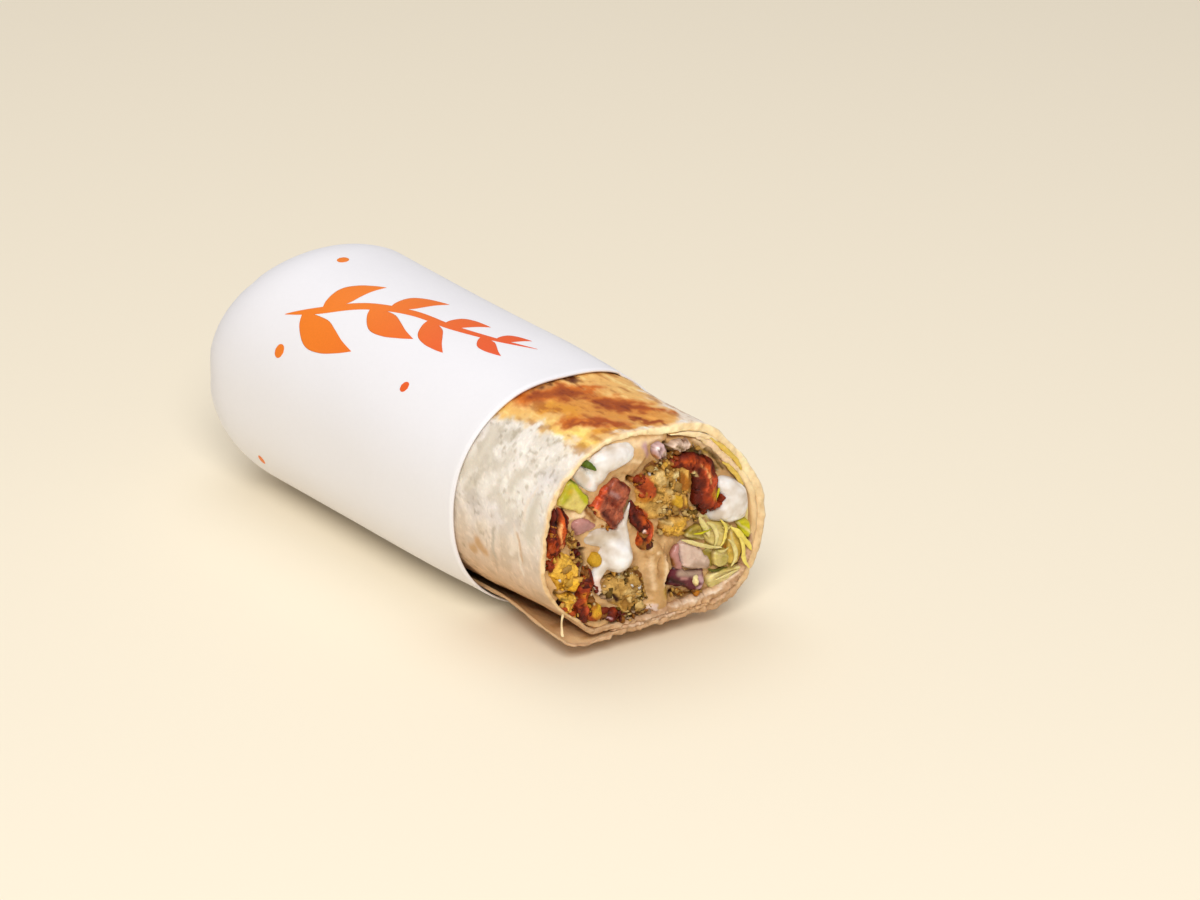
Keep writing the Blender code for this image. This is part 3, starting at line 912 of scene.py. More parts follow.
def bread_skin(angle, along, points):
    """Colour of the bread's outer side: cream, mottled where the filling shows through, toasted on top, with painted
    shade and reflection low down, painted shade by the sleeve's rim and painted highlight specks.
    """
    degrees = np.degrees(angle) % 360.0
    # Painted shade, warmed by painted reflection off the floor: the lower side turns beige and the underside tan.
    low = smooth((degrees - 158.0) / 44.0) * smooth((340.0 - degrees) / 30.0)
    underside_shade = smooth((degrees - 186.0) / 30.0) * smooth((330.0 - degrees) / 30.0)
    colour = mix(np.broadcast_to(TONES["bread"], points.shape), TONES["bread_beige"], low)
    colour = mix(colour, TONES["bread_tan"], 0.8 * underside_shade)
    colour = mix(colour, TONES["bread_lilac"], 0.7 * smooth(fractal(points, 8.0, 15, 3)) * (1.0 - low))
    patch = smooth((fractal(points, 4.2, 11, 5) + 0.05) / 0.7)
    colour = mix(colour, colour * TONES["bread_shade"] / TONES["bread"], 0.65 * patch)
    # Painted shade: the skin greyer towards the sleeve's rim on the left.
    grey = smooth((along - 16.0) / 12.0) * smooth((degrees - 112.0) / 16.0) * smooth((186.0 - degrees) / 30.0)
    colour = mix(colour, colour * TONES["bread_fleck"] / TONES["bread"], 0.45 * grey * smooth(patch + 0.3))
    # Painted highlights: small bright specks on the skin.
    speck = smooth((fractal(points, 0.9, 27, 3) - 0.3) / 0.4)
    colour = mix(colour, np.minimum(colour * 1.16, 1.0), 0.8 * speck)
    fleck = smooth((fractal(points, 1.1, 23, 4) - 0.2) / 0.6) * smooth((fractal(points, 7.0, 71, 3) + 0.25) / 0.5)
    colour = mix(colour, colour * TONES["bread_fleck"] / TONES["bread"], 0.7 * fleck)
    colour = skin_marks(degrees, along, points, colour, BREAD_SPOTS, 0.5)
    before = colour
    colour = skin_marks(degrees, along, points, colour, TOAST, 2.0)
    toasted = smooth((np.abs(colour - before).sum(-1) - 0.03) / 0.2)
    streaks = fractal(points * np.array((1.3, 0.5, 1.3)), 2.2, 37, 5)
    colour = mix(colour, colour * np.array((0.6, 0.42, 0.28)), 0.8 * smooth((streaks - 0.16) / 0.5) * toasted)
    colour = mix(colour, np.minimum(colour * np.array((1.3, 1.5, 1.9)), 1.0), 0.7 * smooth((-streaks - 0.25) / 0.5) * toasted)
    return colour


def edge_colour(points):
    """The bread's torn edge: brighter at the upper right, deeper low down, with flecks all over."""
    bright = smooth((0.4 * points[..., 0] + 1.2 * points[..., 2] - 30.0) / 36.0)
    colour = mix(TONES["bread_inner"], TONES["bread_edge"], bright)
    low = smooth((13.0 - points[..., 2]) / 6.0)
    colour = mix(colour, TONES["bread_bottom"], 0.8 * low)
    flecks = 0.5 + 0.5 * fractal(points, 1.1, 93, 3) + 0.25 * fractal(points, 5.0, 97, 2)
    return colour * tinted(flecks, (0.84, 0.78, 0.7), (1.12, 1.16, 1.2))


def inside_colour(points):
    return mix(TONES["bread_inner"], TONES["spread"], smooth(fractal(points, 4.0, 55, 3)))


def bread_sheet(turned, along, share):
    """Points and colours of the bread at a share of its thickness: 0 is its skin and 1 its inside."""
    angle = np.radians(FLAP_ANGLE + turned) + 0.0 * along
    far = along + 0.0 * angle
    taper = np.minimum((ROLL_ANGLE - turned) / 16.0, 1.0) * (0.3 + 0.7 * smooth((turned - 6.0) / 26.0))
    depth = layer_inset(turned) + share * (0.4 + (bread_thickness(turned) - 0.4) * taper)
    points = roll_point(angle, far, radius(angle, far, -depth) + flap_stand_off(far, turned))
    outward_way = points - roll_point(angle, far, 0.0 * angle)
    outward_way /= np.linalg.norm(outward_way, axis=-1)[..., None] + 1e-9
    bumps = 0.1 * fractal(points, 3.2, 3, 3) + 0.14 * fractal(points, 11.0, 13, 2)
    bumps = bumps + 0.16 * (0.3 - np.abs(fractal(points * np.array((1.0, 1.5, 0.8)), 4.0, 5, 3)))
    wave = 0.5 * fractal(points * np.array((1.0, 0.3, 1.0)), 8.0, 45, 2) * smooth(1.0 - far / 9.0)
    press = 0.3 * smooth(1.0 - np.abs(far - SLEEVE_RIM) / 6.0) * (1.0 - share)
    moved = points + outward_way * (bumps * (1.0 - 1.6 * share) + wave + press)[..., None]
    at_edge = smooth(1.0 - far / 1.2)
    crown = 0.3 * (1.0 - (2.0 * share - 1.0) ** 2)
    torn = 0.28 * (1.0 + 1.3 * smooth((11.0 - points[..., 2]) / 4.0))
    moved[..., 1] -= at_edge * (crown + torn * fractal(points * np.array((1.0, 0.0, 1.0)), 1.3, 29, 3))
    plain = bread_skin(angle, far, points) if share == 0.0 else inside_colour(points)
    return moved, mix(plain, edge_colour(moved), at_edge * min(4.0 * share + 0.5, 1.0))


def sheet_faces(rows, folds, columns):
    """Faces of a closed sheet whose grid runs up its skin, over `folds` edge rows and down its inside."""
    total = 2 * rows + folds
    last = (total - 1) * columns
    faces = grid_faces(total, columns)
    faces += [(last + column, last + column + 1, column + 1, column) for column in range(columns - 1)]
    for column in (0, columns - 1):
        side = [row * columns + column for row in range(total)]
        faces += [(side[row], side[row + 1], side[-2 - row], side[-1 - row]) for row in range(rows - 1)]
        faces.append(side[rows - 1 : rows + folds + 1])
    return faces


def make_flatbread(material):
    """The rolled bread: a ribbon wound one and a half times, with a torn, layered cut edge."""
    turned = np.concatenate([np.arange(0.0, 380.0, 0.85), np.arange(380.0, ROLL_ANGLE + 0.1, 1.7)])[None, :]
    rows = np.concatenate([np.linspace(0.0, 34.0, 68), np.array((40.0, 50.0, 62.0, 80.0, 100.0, 113.0))])[:, None]
    layers = [bread_sheet(turned, rows[::-1], 0.0)]
    layers += [bread_sheet(turned, rows[:1], share) for share in EDGE_SHARES]
    layers += [bread_sheet(turned, rows, 1.0)]
    points, colours = (np.concatenate([layer[index].reshape(-1, 3) for layer in layers]) for index in (0, 1))
    body = Body(filling=False)
    body.add(points, sheet_faces(len(rows), len(EDGE_SHARES), turned.size), colours)
    add_bread_trim(body)
    return body.build("flatbread", material, "flatbread", "tortilla")


def add_bread_trim(body):
    """Crumpled inner turns along the bottom, and a strand across the gap behind the flap."""
    crumple = (
        (-8.0, 6.9, 1.2), (-3.0, 7.2, 1.8), (3.0, 7.5, 2.2), (9.0, 7.7, 2.8), (15.0, 8.1, 3.0), (20.0, 9.4, 2.8),
        (23.8, 12.2, 2.4), (26.0, 16.6, 1.8), (27.0, 21.0, 1.0),
    )
    crumple_marks = (
        mark("bread_beige", (5.0, 8.2, 0.5), (11.0, 8.6, 0.6), (17.0, 9.4, 0.6), (22.6, 12.6, 0.5), rise=0.3, calm=0.0),
        mark("bread_beige", (-2.0, 6.6, 0.8), (3.6, 6.8, 0.6), soft=0.4, rise=0.3, calm=0.0),
        mark("bread_tan", (5.0, 6.9, 0.6), (12.0, 7.0, 0.8), (20.0, 8.6, 0.6), soft=0.4, calm=0.0),
    )
    add_rib(body, crumple, "bread_bottom", crumple_marks, grain=crumple_grain, depth=2.0, lift=-0.3, seed=151,
            crevice_shade=0.2)
    seam = ((-11.0, 5.8, 0.8), (-6.0, 5.8, 1.3), (2.0, 6.0, 1.5), (10.0, 6.1, 1.6), (17.0, 6.6, 1.5), (22.4, 9.2, 1.0))
    seam_marks = (
        mark("bread_beige", (-6.0, 5.9, 0.5), (1.0, 5.7, 0.6), (6.4, 6.3, 0.5), soft=0.4, calm=0.0),
        mark("bread_tan", (9.0, 5.8, 0.6), (16.0, 6.2, 0.6), soft=0.4, calm=0.0),
    )
    add_rib(body, seam, "bread_bottom", seam_marks, grain=crumple_grain, depth=1.6, lift=-0.5, seed=153, crevice_shade=0.3)
    strand = ((-23.0, 13.0, 0.7), (-23.4, 9.8, 0.45), (-23.0, 6.8, 0.8))
    add_rib(body, strand, "bread_edge", grain=soft_grain, depth=0.6, lift=-1.0, seed=155, crevice_shade=0.2, ragged=0.1)


# --- Fillings ---


def make_falafel_right(material):
    body = Body()
    outline = (
        (10.8, 33.0), (11.0, 37.0), (10.9, 40.5), (9.6, 43.0), (6.5, 44.6), (3.0, 45.0), (0.4, 45.1),
        (-1.8, 44.2), (-3.2, 43.0), (-4.9, 42.2), (-5.4, 40.8), (-4.6, 38.6), (-4.3, 36.4), (-5.9, 34.6),
        (-5.0, 32.2), (-2.6, 30.6), (0.6, 30.4), (4.5, 29.6), (9.4, 29.4),
    )
    marks = (
        mark("rust", (-3.4, 40.8, 3.6), (-1.2, 37.8, 3.8), soft=0.5, rise=0.35, gloss=0.7),
        mark("rust_deep", (-3.9, 39.8, 1.0), (-2.6, 37.2, 1.0), gloss=0.7),
        mark("amber", (-3.2, 36.4, 1.4), (-1.0, 35.6, 1.2), soft=0.5),
        mark("maroon", (-6.0, 34.4, 1.4), (-4.4, 32.2, 2.4), (-3.0, 30.6, 1.6), rise=-0.3, gloss=0.6),
        mark("rust", (-3.0, 33.0, 1.8), (-2.0, 31.4, 1.4), gloss=0.5),
        mark("brown", (-1.4, 43.4, 2.0), (1.8, 44.2, 1.8), soft=0.6),
        mark("gap_shade", (-2.2, 44.0, 0.5), (0.6, 45.2, 0.5), rise=-0.6),
        mark("gap_shade", (-1.0, 42.2, 0.8), (0.0, 42.0, 0.6), rise=-0.4),
        mark("gap_shade", (2.8, 44.6, 0.7), (2.7, 42.8, 0.9), (3.8, 41.6, 0.7), rise=-0.8),
        # Painted highlight: a pale glint on the crumb.
        mark("pale", (5.4, 40.3, 1.5), (6.0, 40.5, 1.2), rise=0.35, calm=0.7, gloss=0.6),
        mark("amber", (7.2, 39.4, 2.4), (8.4, 37.4, 2.8), soft=0.4, rise=0.2, calm=0.8, gloss=0.7),
        mark("brown", (9.6, 40.2, 1.0), (10.0, 36.0, 1.2), soft=0.5),
        mark("gap_shade", (5.0, 37.0, 0.3), (7.8, 35.7, 0.6), (9.9, 34.4, 0.8), rise=-0.6),
        mark("chickpea", (5.8, 34.5, 2.6), (6.9, 32.9, 2.2), rise=0.4, calm=0.85, gloss=0.5),
        mark("khaki_light", (4.0, 37.0, 1.4), (4.5, 35.4, 1.2), soft=0.5, rise=0.3),
        mark("khaki", (3.4, 40.6, 1.4), (3.8, 38.0, 1.2), soft=0.6),
        mark("khaki_light", (1.2, 41.2, 2.6), (2.0, 39.2, 2.0), soft=0.6, rise=0.3),
        mark("gap_olive_shade", (0.0, 39.6, 0.4), (0.8, 37.4, 0.5), (2.6, 36.2, 0.4), soft=0.35, rise=-0.4),
        mark("gap_olive_shade", (2.4, 42.8, 0.4), (4.0, 39.6, 0.6), (4.4, 37.6, 0.4), soft=0.35, rise=-0.4),
        mark("gap_olive_shade", (6.8, 42.0, 0.5), (6.6, 37.6, 0.4), (4.9, 36.2, 0.4), soft=0.35, rise=-0.4),
        mark("gap_olive_shade", (-1.0, 35.2, 0.5), (1.6, 34.8, 0.4), (3.4, 34.0, 0.6), soft=0.35, rise=-0.4),
        mark("crumb_yellow", (8.2, 33.2, 1.6), (9.6, 32.0, 1.4), soft=0.5, rise=0.3),
        mark("brown", (7.6, 34.4, 0.5), (8.0, 31.4, 0.6), soft=0.4, rise=-0.3),
        mark("khaki", (-1.6, 34.2, 2.2), (1.0, 33.4, 2.4), soft=0.7),
        mark("khaki_light", (1.6, 32.6, 1.6), soft=0.5, rise=0.2),
        mark("gap_shade", (2.6, 33.2, 0.7), (3.8, 31.8, 1.2), (5.8, 31.2, 0.9), rise=-0.9),
        mark("gap_shade", (7.4, 30.6, 1.0), (9.3, 30.2, 1.3), rise=-0.9),
        mark("brown", (5.4, 31.6, 1.2), (8.6, 31.8, 1.2), soft=0.6),
    )
    add_lump(body, outline, "crumb", marks, rise=0.5, seed=3, end=FILLING_END)
    arch = (
        (3.9, 43.4, 1.8), (6.2, 43.3, 3.0), (9.4, 43.0, 3.8), (12.2, 41.2, 5.2), (13.6, 38.2, 6.4),
        (13.8, 35.2, 6.6), (13.8, 32.2, 6.0), (14.0, 30.2, 3.4), (13.8, 28.8, 1.2),
    )
    arch_marks = (
        mark("crumb", (4.2, 43.5, 1.4), soft=0.4),
        mark("maroon", (10.9, 39.4, 1.2), (11.0, 36.4, 2.6), (11.6, 33.2, 3.2), (12.4, 30.8, 2.0), soft=0.5,
             rise=-0.25, gloss=0.8),
        mark("rust_deep", (13.0, 40.0, 1.0), (12.9, 35.0, 1.4), (13.6, 31.6, 1.4), soft=0.5, gloss=0.7),
        mark("maroon", (6.8, 44.8, 0.8), (10.5, 44.7, 0.8), (14.2, 42.9, 0.9), (16.4, 39.6, 0.6), soft=0.4),
        mark("rust", (7.0, 43.4, 0.9), (10.6, 42.8, 1.0), (13.8, 40.6, 1.1), (15.2, 37.2, 1.2), (15.0, 33.6, 0.9), soft=0.5,
             calm=0.0),
        # Painted highlight: a thin light streak along the crust.
        mark("tomato_flesh", (11.4, 42.0, 0.3), (13.4, 39.6, 0.35), (14.1, 37.0, 0.3), soft=0.25, rise=0.3),
        mark("tomato_red", (12.3, 40.6, 0.35), (13.2, 37.8, 0.3), (13.0, 34.6, 0.3), soft=0.25, rise=0.2),
        mark("tomato_red", (15.9, 37.6, 0.35), (15.7, 34.6, 0.3), (14.9, 32.2, 0.3), soft=0.25, rise=0.2),
        mark("maroon", (14.4, 41.0, 0.35), (15.3, 37.4, 0.4), (14.6, 33.4, 0.35), soft=0.25, rise=-0.2),
        mark("tomato_red", (15.0, 37.6, 1.2), (15.2, 35.4, 1.2), soft=0.6),
        mark("amber", (15.2, 34.6, 1.6), (15.4, 33.2, 1.4), soft=0.5),
        # Painted highlight: a bright dot on the crust.
        mark("pale", (10.3, 40.1, 0.8), (11.0, 39.4, 0.7), soft=0.25, rise=0.2, gloss=1.0),
        mark("maroon", (12.6, 29.8, 1.2), (14.8, 29.9, 1.4), (17.2, 30.8, 0.9), soft=0.4, gloss=0.6),
        mark("lettuce_khaki", (16.2, 33.6, 1.0), (16.6, 32.2, 0.8), soft=0.3),
    )
    add_rib(body, arch, "rust_deep", arch_marks, depth=5.0, lift=-0.6, seed=14, ragged=0.4)
    add_rib(body, ((14.6, 30.6, 2.0), (16.4, 30.9, 1.8), (17.9, 31.2, 0.9)), "rust_deep", depth=1.8, lift=0.3, seed=16)
    lobe = (
        (1.6, 29.9), (1.2, 28.2), (2.4, 26.6), (4.2, 25.4), (6.4, 25.0), (8.4, 26.1), (9.8, 27.6), (10.4, 29.2),
        (7.2, 29.9), (3.8, 30.2),
    )
    lobe_marks = (
        mark("crumb_yellow", (4.6, 27.2, 2.6), (7.6, 28.0, 2.4), soft=0.8),
        mark("brown", (0.8, 30.2, 0.9), (1.8, 28.0, 0.8), (3.2, 26.2, 0.6), soft=0.4, rise=-0.3),
        mark("khaki_light", (2.4, 29.8, 0.9), (4.2, 29.0, 0.9), soft=0.4, rise=0.2),
    )
    add_lump(body, lobe, "crumb", lobe_marks, rise=0.8, seed=21)
    strip = (
        (-3.6, 30.6), (-3.9, 28.4), (-4.4, 26.4), (-4.2, 24.6), (-2.9, 23.4), (-1.5, 23.8), (-1.1, 25.4),
        (0.1, 26.4), (0.6, 28.4), (0.2, 30.2), (-1.6, 31.2),
    )
    strip_marks = (
        mark("tomato_red", (-2.0, 29.8, 1.4), (-1.2, 27.6, 1.4), soft=0.5, gloss=0.7),
        # Painted highlight: a pink glint on the strip.
        mark("sauce_pink", (-3.2, 28.9, 0.8), (-2.7, 28.3, 0.7), soft=0.3, gloss=1.0),
        mark("maroon", (-3.0, 27.2, 1.0), (-2.6, 26.4, 1.2), soft=0.4),
        mark("brown", (-3.0, 25.0, 2.0), (-1.8, 24.4, 1.6), soft=0.6),
        mark("tomato_flesh", (0.1, 29.6, 0.5), (0.1, 26.9, 0.5), soft=0.3),
    )
    add_lump(body, strip, "rust", strip_marks, grain=crust_grain, rise=0.7, seed=23)
    torn = ((-6.4, 36.2, 0.9), (-5.6, 34.4, 2.2), (-4.4, 32.4, 2.9), (-3.0, 30.4, 3.1), (-1.6, 28.6, 2.0))
    torn_marks = (
        mark("rust", (-4.0, 33.4, 1.2), (-2.8, 31.0, 1.6), soft=0.5, calm=0.0, gloss=0.7),
        mark("gap_shade", (-5.4, 32.6, 0.7), (-4.4, 30.8, 0.6), soft=0.4, rise=-0.4),
    )
    add_rib(body, torn, "maroon", torn_marks, depth=2.6, lift=-0.2, seed=25, ragged=0.5)
    return body.build("falafel_right_half", material, "falafel", "falafel_right")


def make_falafel_left(material):
    body = Body()
    lump = (
        (-26.9, 27.0), (-27.4, 24.4), (-26.8, 22.0), (-25.8, 19.8), (-24.6, 18.1), (-22.4, 18.2), (-20.6, 17.4),
        (-19.4, 18.4), (-19.3, 21.4), (-20.0, 24.2), (-21.6, 26.6), (-24.0, 28.0), (-25.8, 27.8),
    )
    lump_marks = (
        mark("crumb_gold", (-25.4, 22.4, 2.4), (-24.8, 20.0, 2.8), (-22.6, 19.4, 3.0), (-20.4, 19.4, 2.6), soft=0.8),
        mark("crumb_yellow", (-24.8, 22.6, 2.6), (-21.4, 24.0, 2.4), soft=0.9),
        mark("rust", (-27.4, 25.4, 1.6), (-26.2, 27.0, 1.6), soft=0.6),
        mark("gap_olive_shade", (-24.8, 23.8, 0.35), (-22.4, 24.0, 0.35), soft=0.25, rise=-0.3),
        mark("brown", (-21.4, 21.8, 0.35), (-19.6, 21.4, 0.35), soft=0.25, rise=-0.3),
        mark("brown", (-27.2, 22.4, 0.6), (-25.4, 19.2, 0.6), soft=0.3, rise=-0.3),
    )
    add_lump(body, lump, "crumb_yellow", lump_marks, rise=0.7, seed=31, end=FILLING_END)
    crust = (
        (-25.8, 39.8), (-26.8, 37.4), (-27.6, 33.6), (-28.2, 30.0), (-28.0, 27.6), (-26.8, 26.6), (-25.0, 27.4),
        (-23.0, 28.6), (-22.8, 31.6), (-22.2, 34.6), (-22.6, 37.4), (-23.8, 39.2),
    )
    crust_marks = (
        mark("maroon", (-26.0, 39.8, 2.0), (-27.2, 36.0, 2.4), (-27.6, 32.6, 2.2), soft=0.5, calm=0.0, rise=0.3),
        mark("maroon", (-24.0, 38.4, 1.2), (-23.4, 35.0, 1.4), (-23.6, 32.4, 0.9), soft=0.5, calm=0.0),
        mark("gap_shade", (-25.4, 38.6, 0.6), (-25.6, 35.4, 0.9), (-26.0, 32.2, 0.7), soft=0.35, rise=-0.8),
        mark("rust", (-24.6, 37.0, 0.9), (-24.5, 34.4, 1.3), (-24.8, 31.4, 1.5), soft=0.5, calm=0.0, rise=0.3),
        # Painted highlight: a light line down the crust.
        mark("tomato_flesh", (-25.0, 35.6, 0.3), (-25.3, 33.4, 0.35), (-25.1, 31.2, 0.3), soft=0.25, rise=0.2),
        mark("rust", (-28.0, 30.4, 1.4), (-27.6, 28.2, 2.4), (-25.6, 28.6, 1.6), soft=0.7, calm=0.0, gloss=0.6),
        mark("tomato_red", (-27.0, 29.6, 0.7), (-26.0, 28.6, 0.8), soft=0.5, gloss=0.8),
        # Painted highlight: a glossy spot on the crust.
        mark("tomato_flesh", (-24.6, 30.0, 0.8), (-24.2, 29.2, 0.7), soft=0.35, gloss=1.0),
    )
    add_lump(body, crust, "rust_deep", crust_marks, grain=crust_grain, rise=0.7, depth=2.6, seed=33, ragged=0.35)
    upper = ((-23.0, 33.6), (-23.2, 31.0), (-22.4, 28.8), (-21.2, 27.6), (-19.8, 27.8), (-20.2, 30.0), (-21.2, 32.6))
    upper_marks = (
        mark("brown", (-22.8, 28.8, 1.6), (-21.2, 27.6, 1.6), soft=0.5, rise=-0.3),
        mark("pale", (-21.8, 31.4, 0.8), soft=0.4),
    )
    add_lump(body, upper, "crumb", upper_marks, rise=0.3, seed=37)
    lower = ((-24.3, 17.0), (-23.9, 14.6), (-23.4, 12.6), (-21.8, 11.6), (-20.4, 12.6), (-19.8, 14.8), (-20.2, 16.8), (-22.4, 17.3))
    lower_marks = (
        mark("gap_shade", (-24.1, 15.8, 1.0), (-23.7, 14.2, 0.8), soft=0.3, rise=-0.5),
        mark("gap_olive_shade", (-23.8, 16.6, 0.5), (-22.0, 16.4, 0.4), soft=0.3, rise=-0.3),
        mark("rust", (-22.4, 12.8, 1.2), (-21.0, 12.4, 1.4), soft=0.5),
    )
    add_lump(body, lower, "crumb_yellow", lower_marks, rise=0.4, seed=39)
    strip = (
        (-18.6, 23.6, 1.2), (-17.4, 21.4, 2.2), (-17.6, 18.6, 3.2), (-18.6, 15.8, 3.4), (-19.2, 13.2, 3.4),
        (-18.8, 11.2, 2.6), (-17.2, 9.6, 1.4),
    )
    strip_marks = (
        mark("brown", (-18.4, 22.8, 1.6), (-18.2, 20.6, 1.4), soft=0.5),
        mark("maroon", (-20.0, 13.2, 1.6), (-19.2, 11.2, 2.0), (-17.6, 9.8, 1.2), soft=0.5, gloss=0.7),
        mark("maroon", (-17.0, 20.8, 1.2), soft=0.5, gloss=0.6),
        mark("tomato_red", (-17.6, 13.4, 1.8), (-17.0, 12.4, 1.4), soft=0.5, gloss=0.5),
        mark("amber", (-18.8, 17.0, 1.0), (-18.2, 14.6, 1.2), soft=0.5, calm=0.0),
        mark("rust", (-17.0, 17.8, 1.2), (-19.6, 14.6, 1.2), soft=0.5, calm=0.0),
    )
    add_rib(body, strip, "rust_deep", strip_marks, depth=3.0, lift=-0.4, seed=41, ragged=0.6)
    curl = ((-16.8, 18.9, 0.7), (-15.6, 18.2, 1.1), (-15.0, 17.2, 1.1), (-15.8, 16.6, 0.7))
    add_rib(body, curl, "maroon", depth=1.4, lift=0.2, seed=43)
    amber = ((-18.0, 11.8), (-17.2, 13.4), (-15.6, 14.6), (-13.8, 13.2), (-13.2, 11.4), (-13.7, 9.6), (-15.4, 8.6), (-17.2, 9.4))
    amber_marks = (
        mark("chickpea", (-14.6, 12.8, 1.6), (-13.9, 11.6, 1.4), soft=0.5),
        mark("pale", (-15.9, 14.1, 0.9), soft=0.3, rise=0.2),
        mark("rust", (-17.2, 11.0, 1.2), (-16.0, 9.6, 1.4), soft=0.6),
        mark("crumb_gold", (-15.6, 11.6, 1.8), soft=0.6),
    )
    add_lump(body, amber, "amber", amber_marks, rise=0.8, seed=45)
    bit = ((-17.3, 24.6), (-16.6, 26.0), (-15.2, 26.2), (-13.9, 25.0), (-13.8, 23.6), (-14.8, 22.4), (-16.2, 22.6))
    add_lump(body, bit, "chickpea", grain=flesh_grain, rise=1.3, depth=1.8, edge=3.0, seed=47)
    return body.build("falafel_left_half", material, "falafel", "falafel_left")


def make_falafel_bottom(material):
    body = Body()
    outline = (
        (-13.0, 17.8), (-13.6, 16.4), (-14.9, 15.2), (-13.6, 13.6), (-11.4, 12.8), (-9.8, 11.6), (-8.9, 9.8),
        (-8.0, 8.0), (-5.4, 8.2), (-3.8, 9.6), (-1.6, 10.2), (-0.7, 11.6), (-1.1, 13.6), (-1.8, 15.8),
        (-2.5, 18.0), (-4.2, 19.7), (-6.2, 20.2), (-8.8, 19.0), (-11.4, 19.0),
    )
    marks = (
        mark("brown", (-4.6, 19.2, 1.4), (-2.9, 17.4, 1.8), (-3.0, 16.0, 1.2), soft=0.7),
        mark("grey", (-3.4, 12.8, 2.4), (-1.8, 11.6, 1.8), soft=0.8),
        mark("khaki_light", (-7.4, 14.6, 1.2), (-5.0, 14.2, 1.4), (-3.6, 15.0, 1.0), soft=0.6, rise=0.2),
        mark("crumb", (-8.4, 11.6, 2.4), (-6.2, 10.6, 2.4), soft=0.8),
        mark("grey", (-13.4, 14.6, 1.4), (-11.6, 13.6, 1.6), soft=0.6),
        mark("gap_shade", (-14.8, 15.2, 0.4), (-12.4, 15.6, 0.5), (-10.6, 14.6, 0.9), (-9.3, 12.9, 1.0), soft=0.35, rise=-0.6),
        # Painted highlight: a pale glint.
        mark("pale", (-11.2, 14.2, 0.7), soft=0.25, rise=0.3, gloss=0.8),
        mark("gap_shade", (-1.1, 11.8, 0.9), soft=0.3, rise=-0.5),
        mark("brown", (-5.8, 8.8, 1.4), (-8.0, 8.6, 1.4), soft=0.5),
    )
    add_lump(body, outline, "khaki", marks, rise=0.6, seed=51, end=FILLING_END)
    dark = ((-13.0, 10.4), (-12.6, 8.8), (-11.0, 7.7), (-9.2, 7.8), (-8.5, 9.4), (-9.4, 11.2), (-11.6, 11.6))
    dark_marks = (
        # Painted highlight: a lilac glint on the dark lump.
        mark("onion_lilac", (-12.1, 9.5, 0.5), (-11.6, 9.1, 0.4), soft=0.25, gloss=1.0),
        mark("rust_deep", (-9.6, 9.6, 1.6), (-10.4, 10.8, 1.0), soft=0.5),
    )
    add_lump(body, dark, "maroon", dark_marks, grain=crust_grain, rise=0.6, seed=53)
    return body.build("falafel_bottom_half", material, "falafel", "falafel_bottom")


def make_tomato(material):
    body = Body()
    outline = (
        (-10.3, 43.0), (-12.4, 41.9), (-14.4, 40.4), (-15.9, 38.6), (-16.3, 37.2), (-15.2, 35.4), (-13.6, 33.4),
        (-11.8, 31.6), (-10.2, 30.8), (-8.9, 32.2), (-7.6, 34.6), (-6.4, 37.4), (-6.2, 39.6), (-7.6, 41.6),
    )
    marks = (
        mark("tomato_red", (-15.6, 37.2, 1.5), (-14.4, 39.6, 1.7), (-12.8, 41.2, 1.2), soft=0.6, rise=0.2, calm=0.0),
        mark("tomato_flesh", (-16.0, 36.8, 0.6), (-14.6, 34.9, 0.8), (-13.2, 33.4, 0.6), soft=0.4, calm=0.0),
        mark("maroon", (-13.8, 35.8, 0.9), (-12.0, 33.4, 1.4), (-10.6, 32.0, 1.2), soft=0.7, calm=0.0),
        mark("maroon", (-9.6, 42.2, 0.8), (-7.2, 40.6, 1.0), (-6.6, 38.0, 0.8), soft=0.6, calm=0.0),
        mark("rust_deep", (-12.6, 38.8, 1.0), (-10.2, 36.6, 1.4), soft=0.9, calm=0.0),
        # Painted highlight: a pink glint on the wet flesh.
        mark("onion_rose", (-11.6, 40.0, 0.9), (-9.9, 38.6, 0.8), soft=0.6, calm=0.0, gloss=1.0),
    )
    add_lump(body, outline, "tomato", marks, grain=pulp_grain, rise=0.7, depth=1.4, edge=9.0, seed=61, end=FILLING_END,
             ragged=0.45)
    return body.build("tomato_piece", material, "tomato", "tomato")


def make_cucumber(material):
    body = Body()
    outline = (
        (-22.1, 45.2), (-23.4, 43.9), (-24.5, 41.6), (-25.2, 39.9), (-24.0, 39.0), (-21.4, 37.4), (-19.2, 36.2),
        (-18.3, 37.4), (-17.2, 39.8), (-18.6, 42.0), (-20.4, 44.2),
    )
    marks = (
        mark("cucumber_olive", (-22.4, 44.4, 1.6), (-23.2, 42.0, 2.2), (-24.4, 40.6, 1.4), soft=0.9),
        mark("cucumber_amber", (-22.4, 42.6, 1.2), soft=0.8),
        mark("cucumber_lime", (-21.4, 44.2, 0.9), (-19.6, 41.8, 1.5), (-18.0, 39.4, 1.6), soft=0.5),
        mark("cucumber_skin", (-22.0, 45.4, 0.7), (-20.2, 44.1, 0.8), (-18.4, 42.0, 0.9), (-17.0, 39.7, 0.8), soft=0.3),
    )
    add_lump(body, outline, "cucumber", marks, grain=flesh_grain, rise=0.5, depth=1.2, edge=10.0, seed=71,
             end=FILLING_END)
    return body.build("cucumber_piece", material, "cucumber", "cucumber")


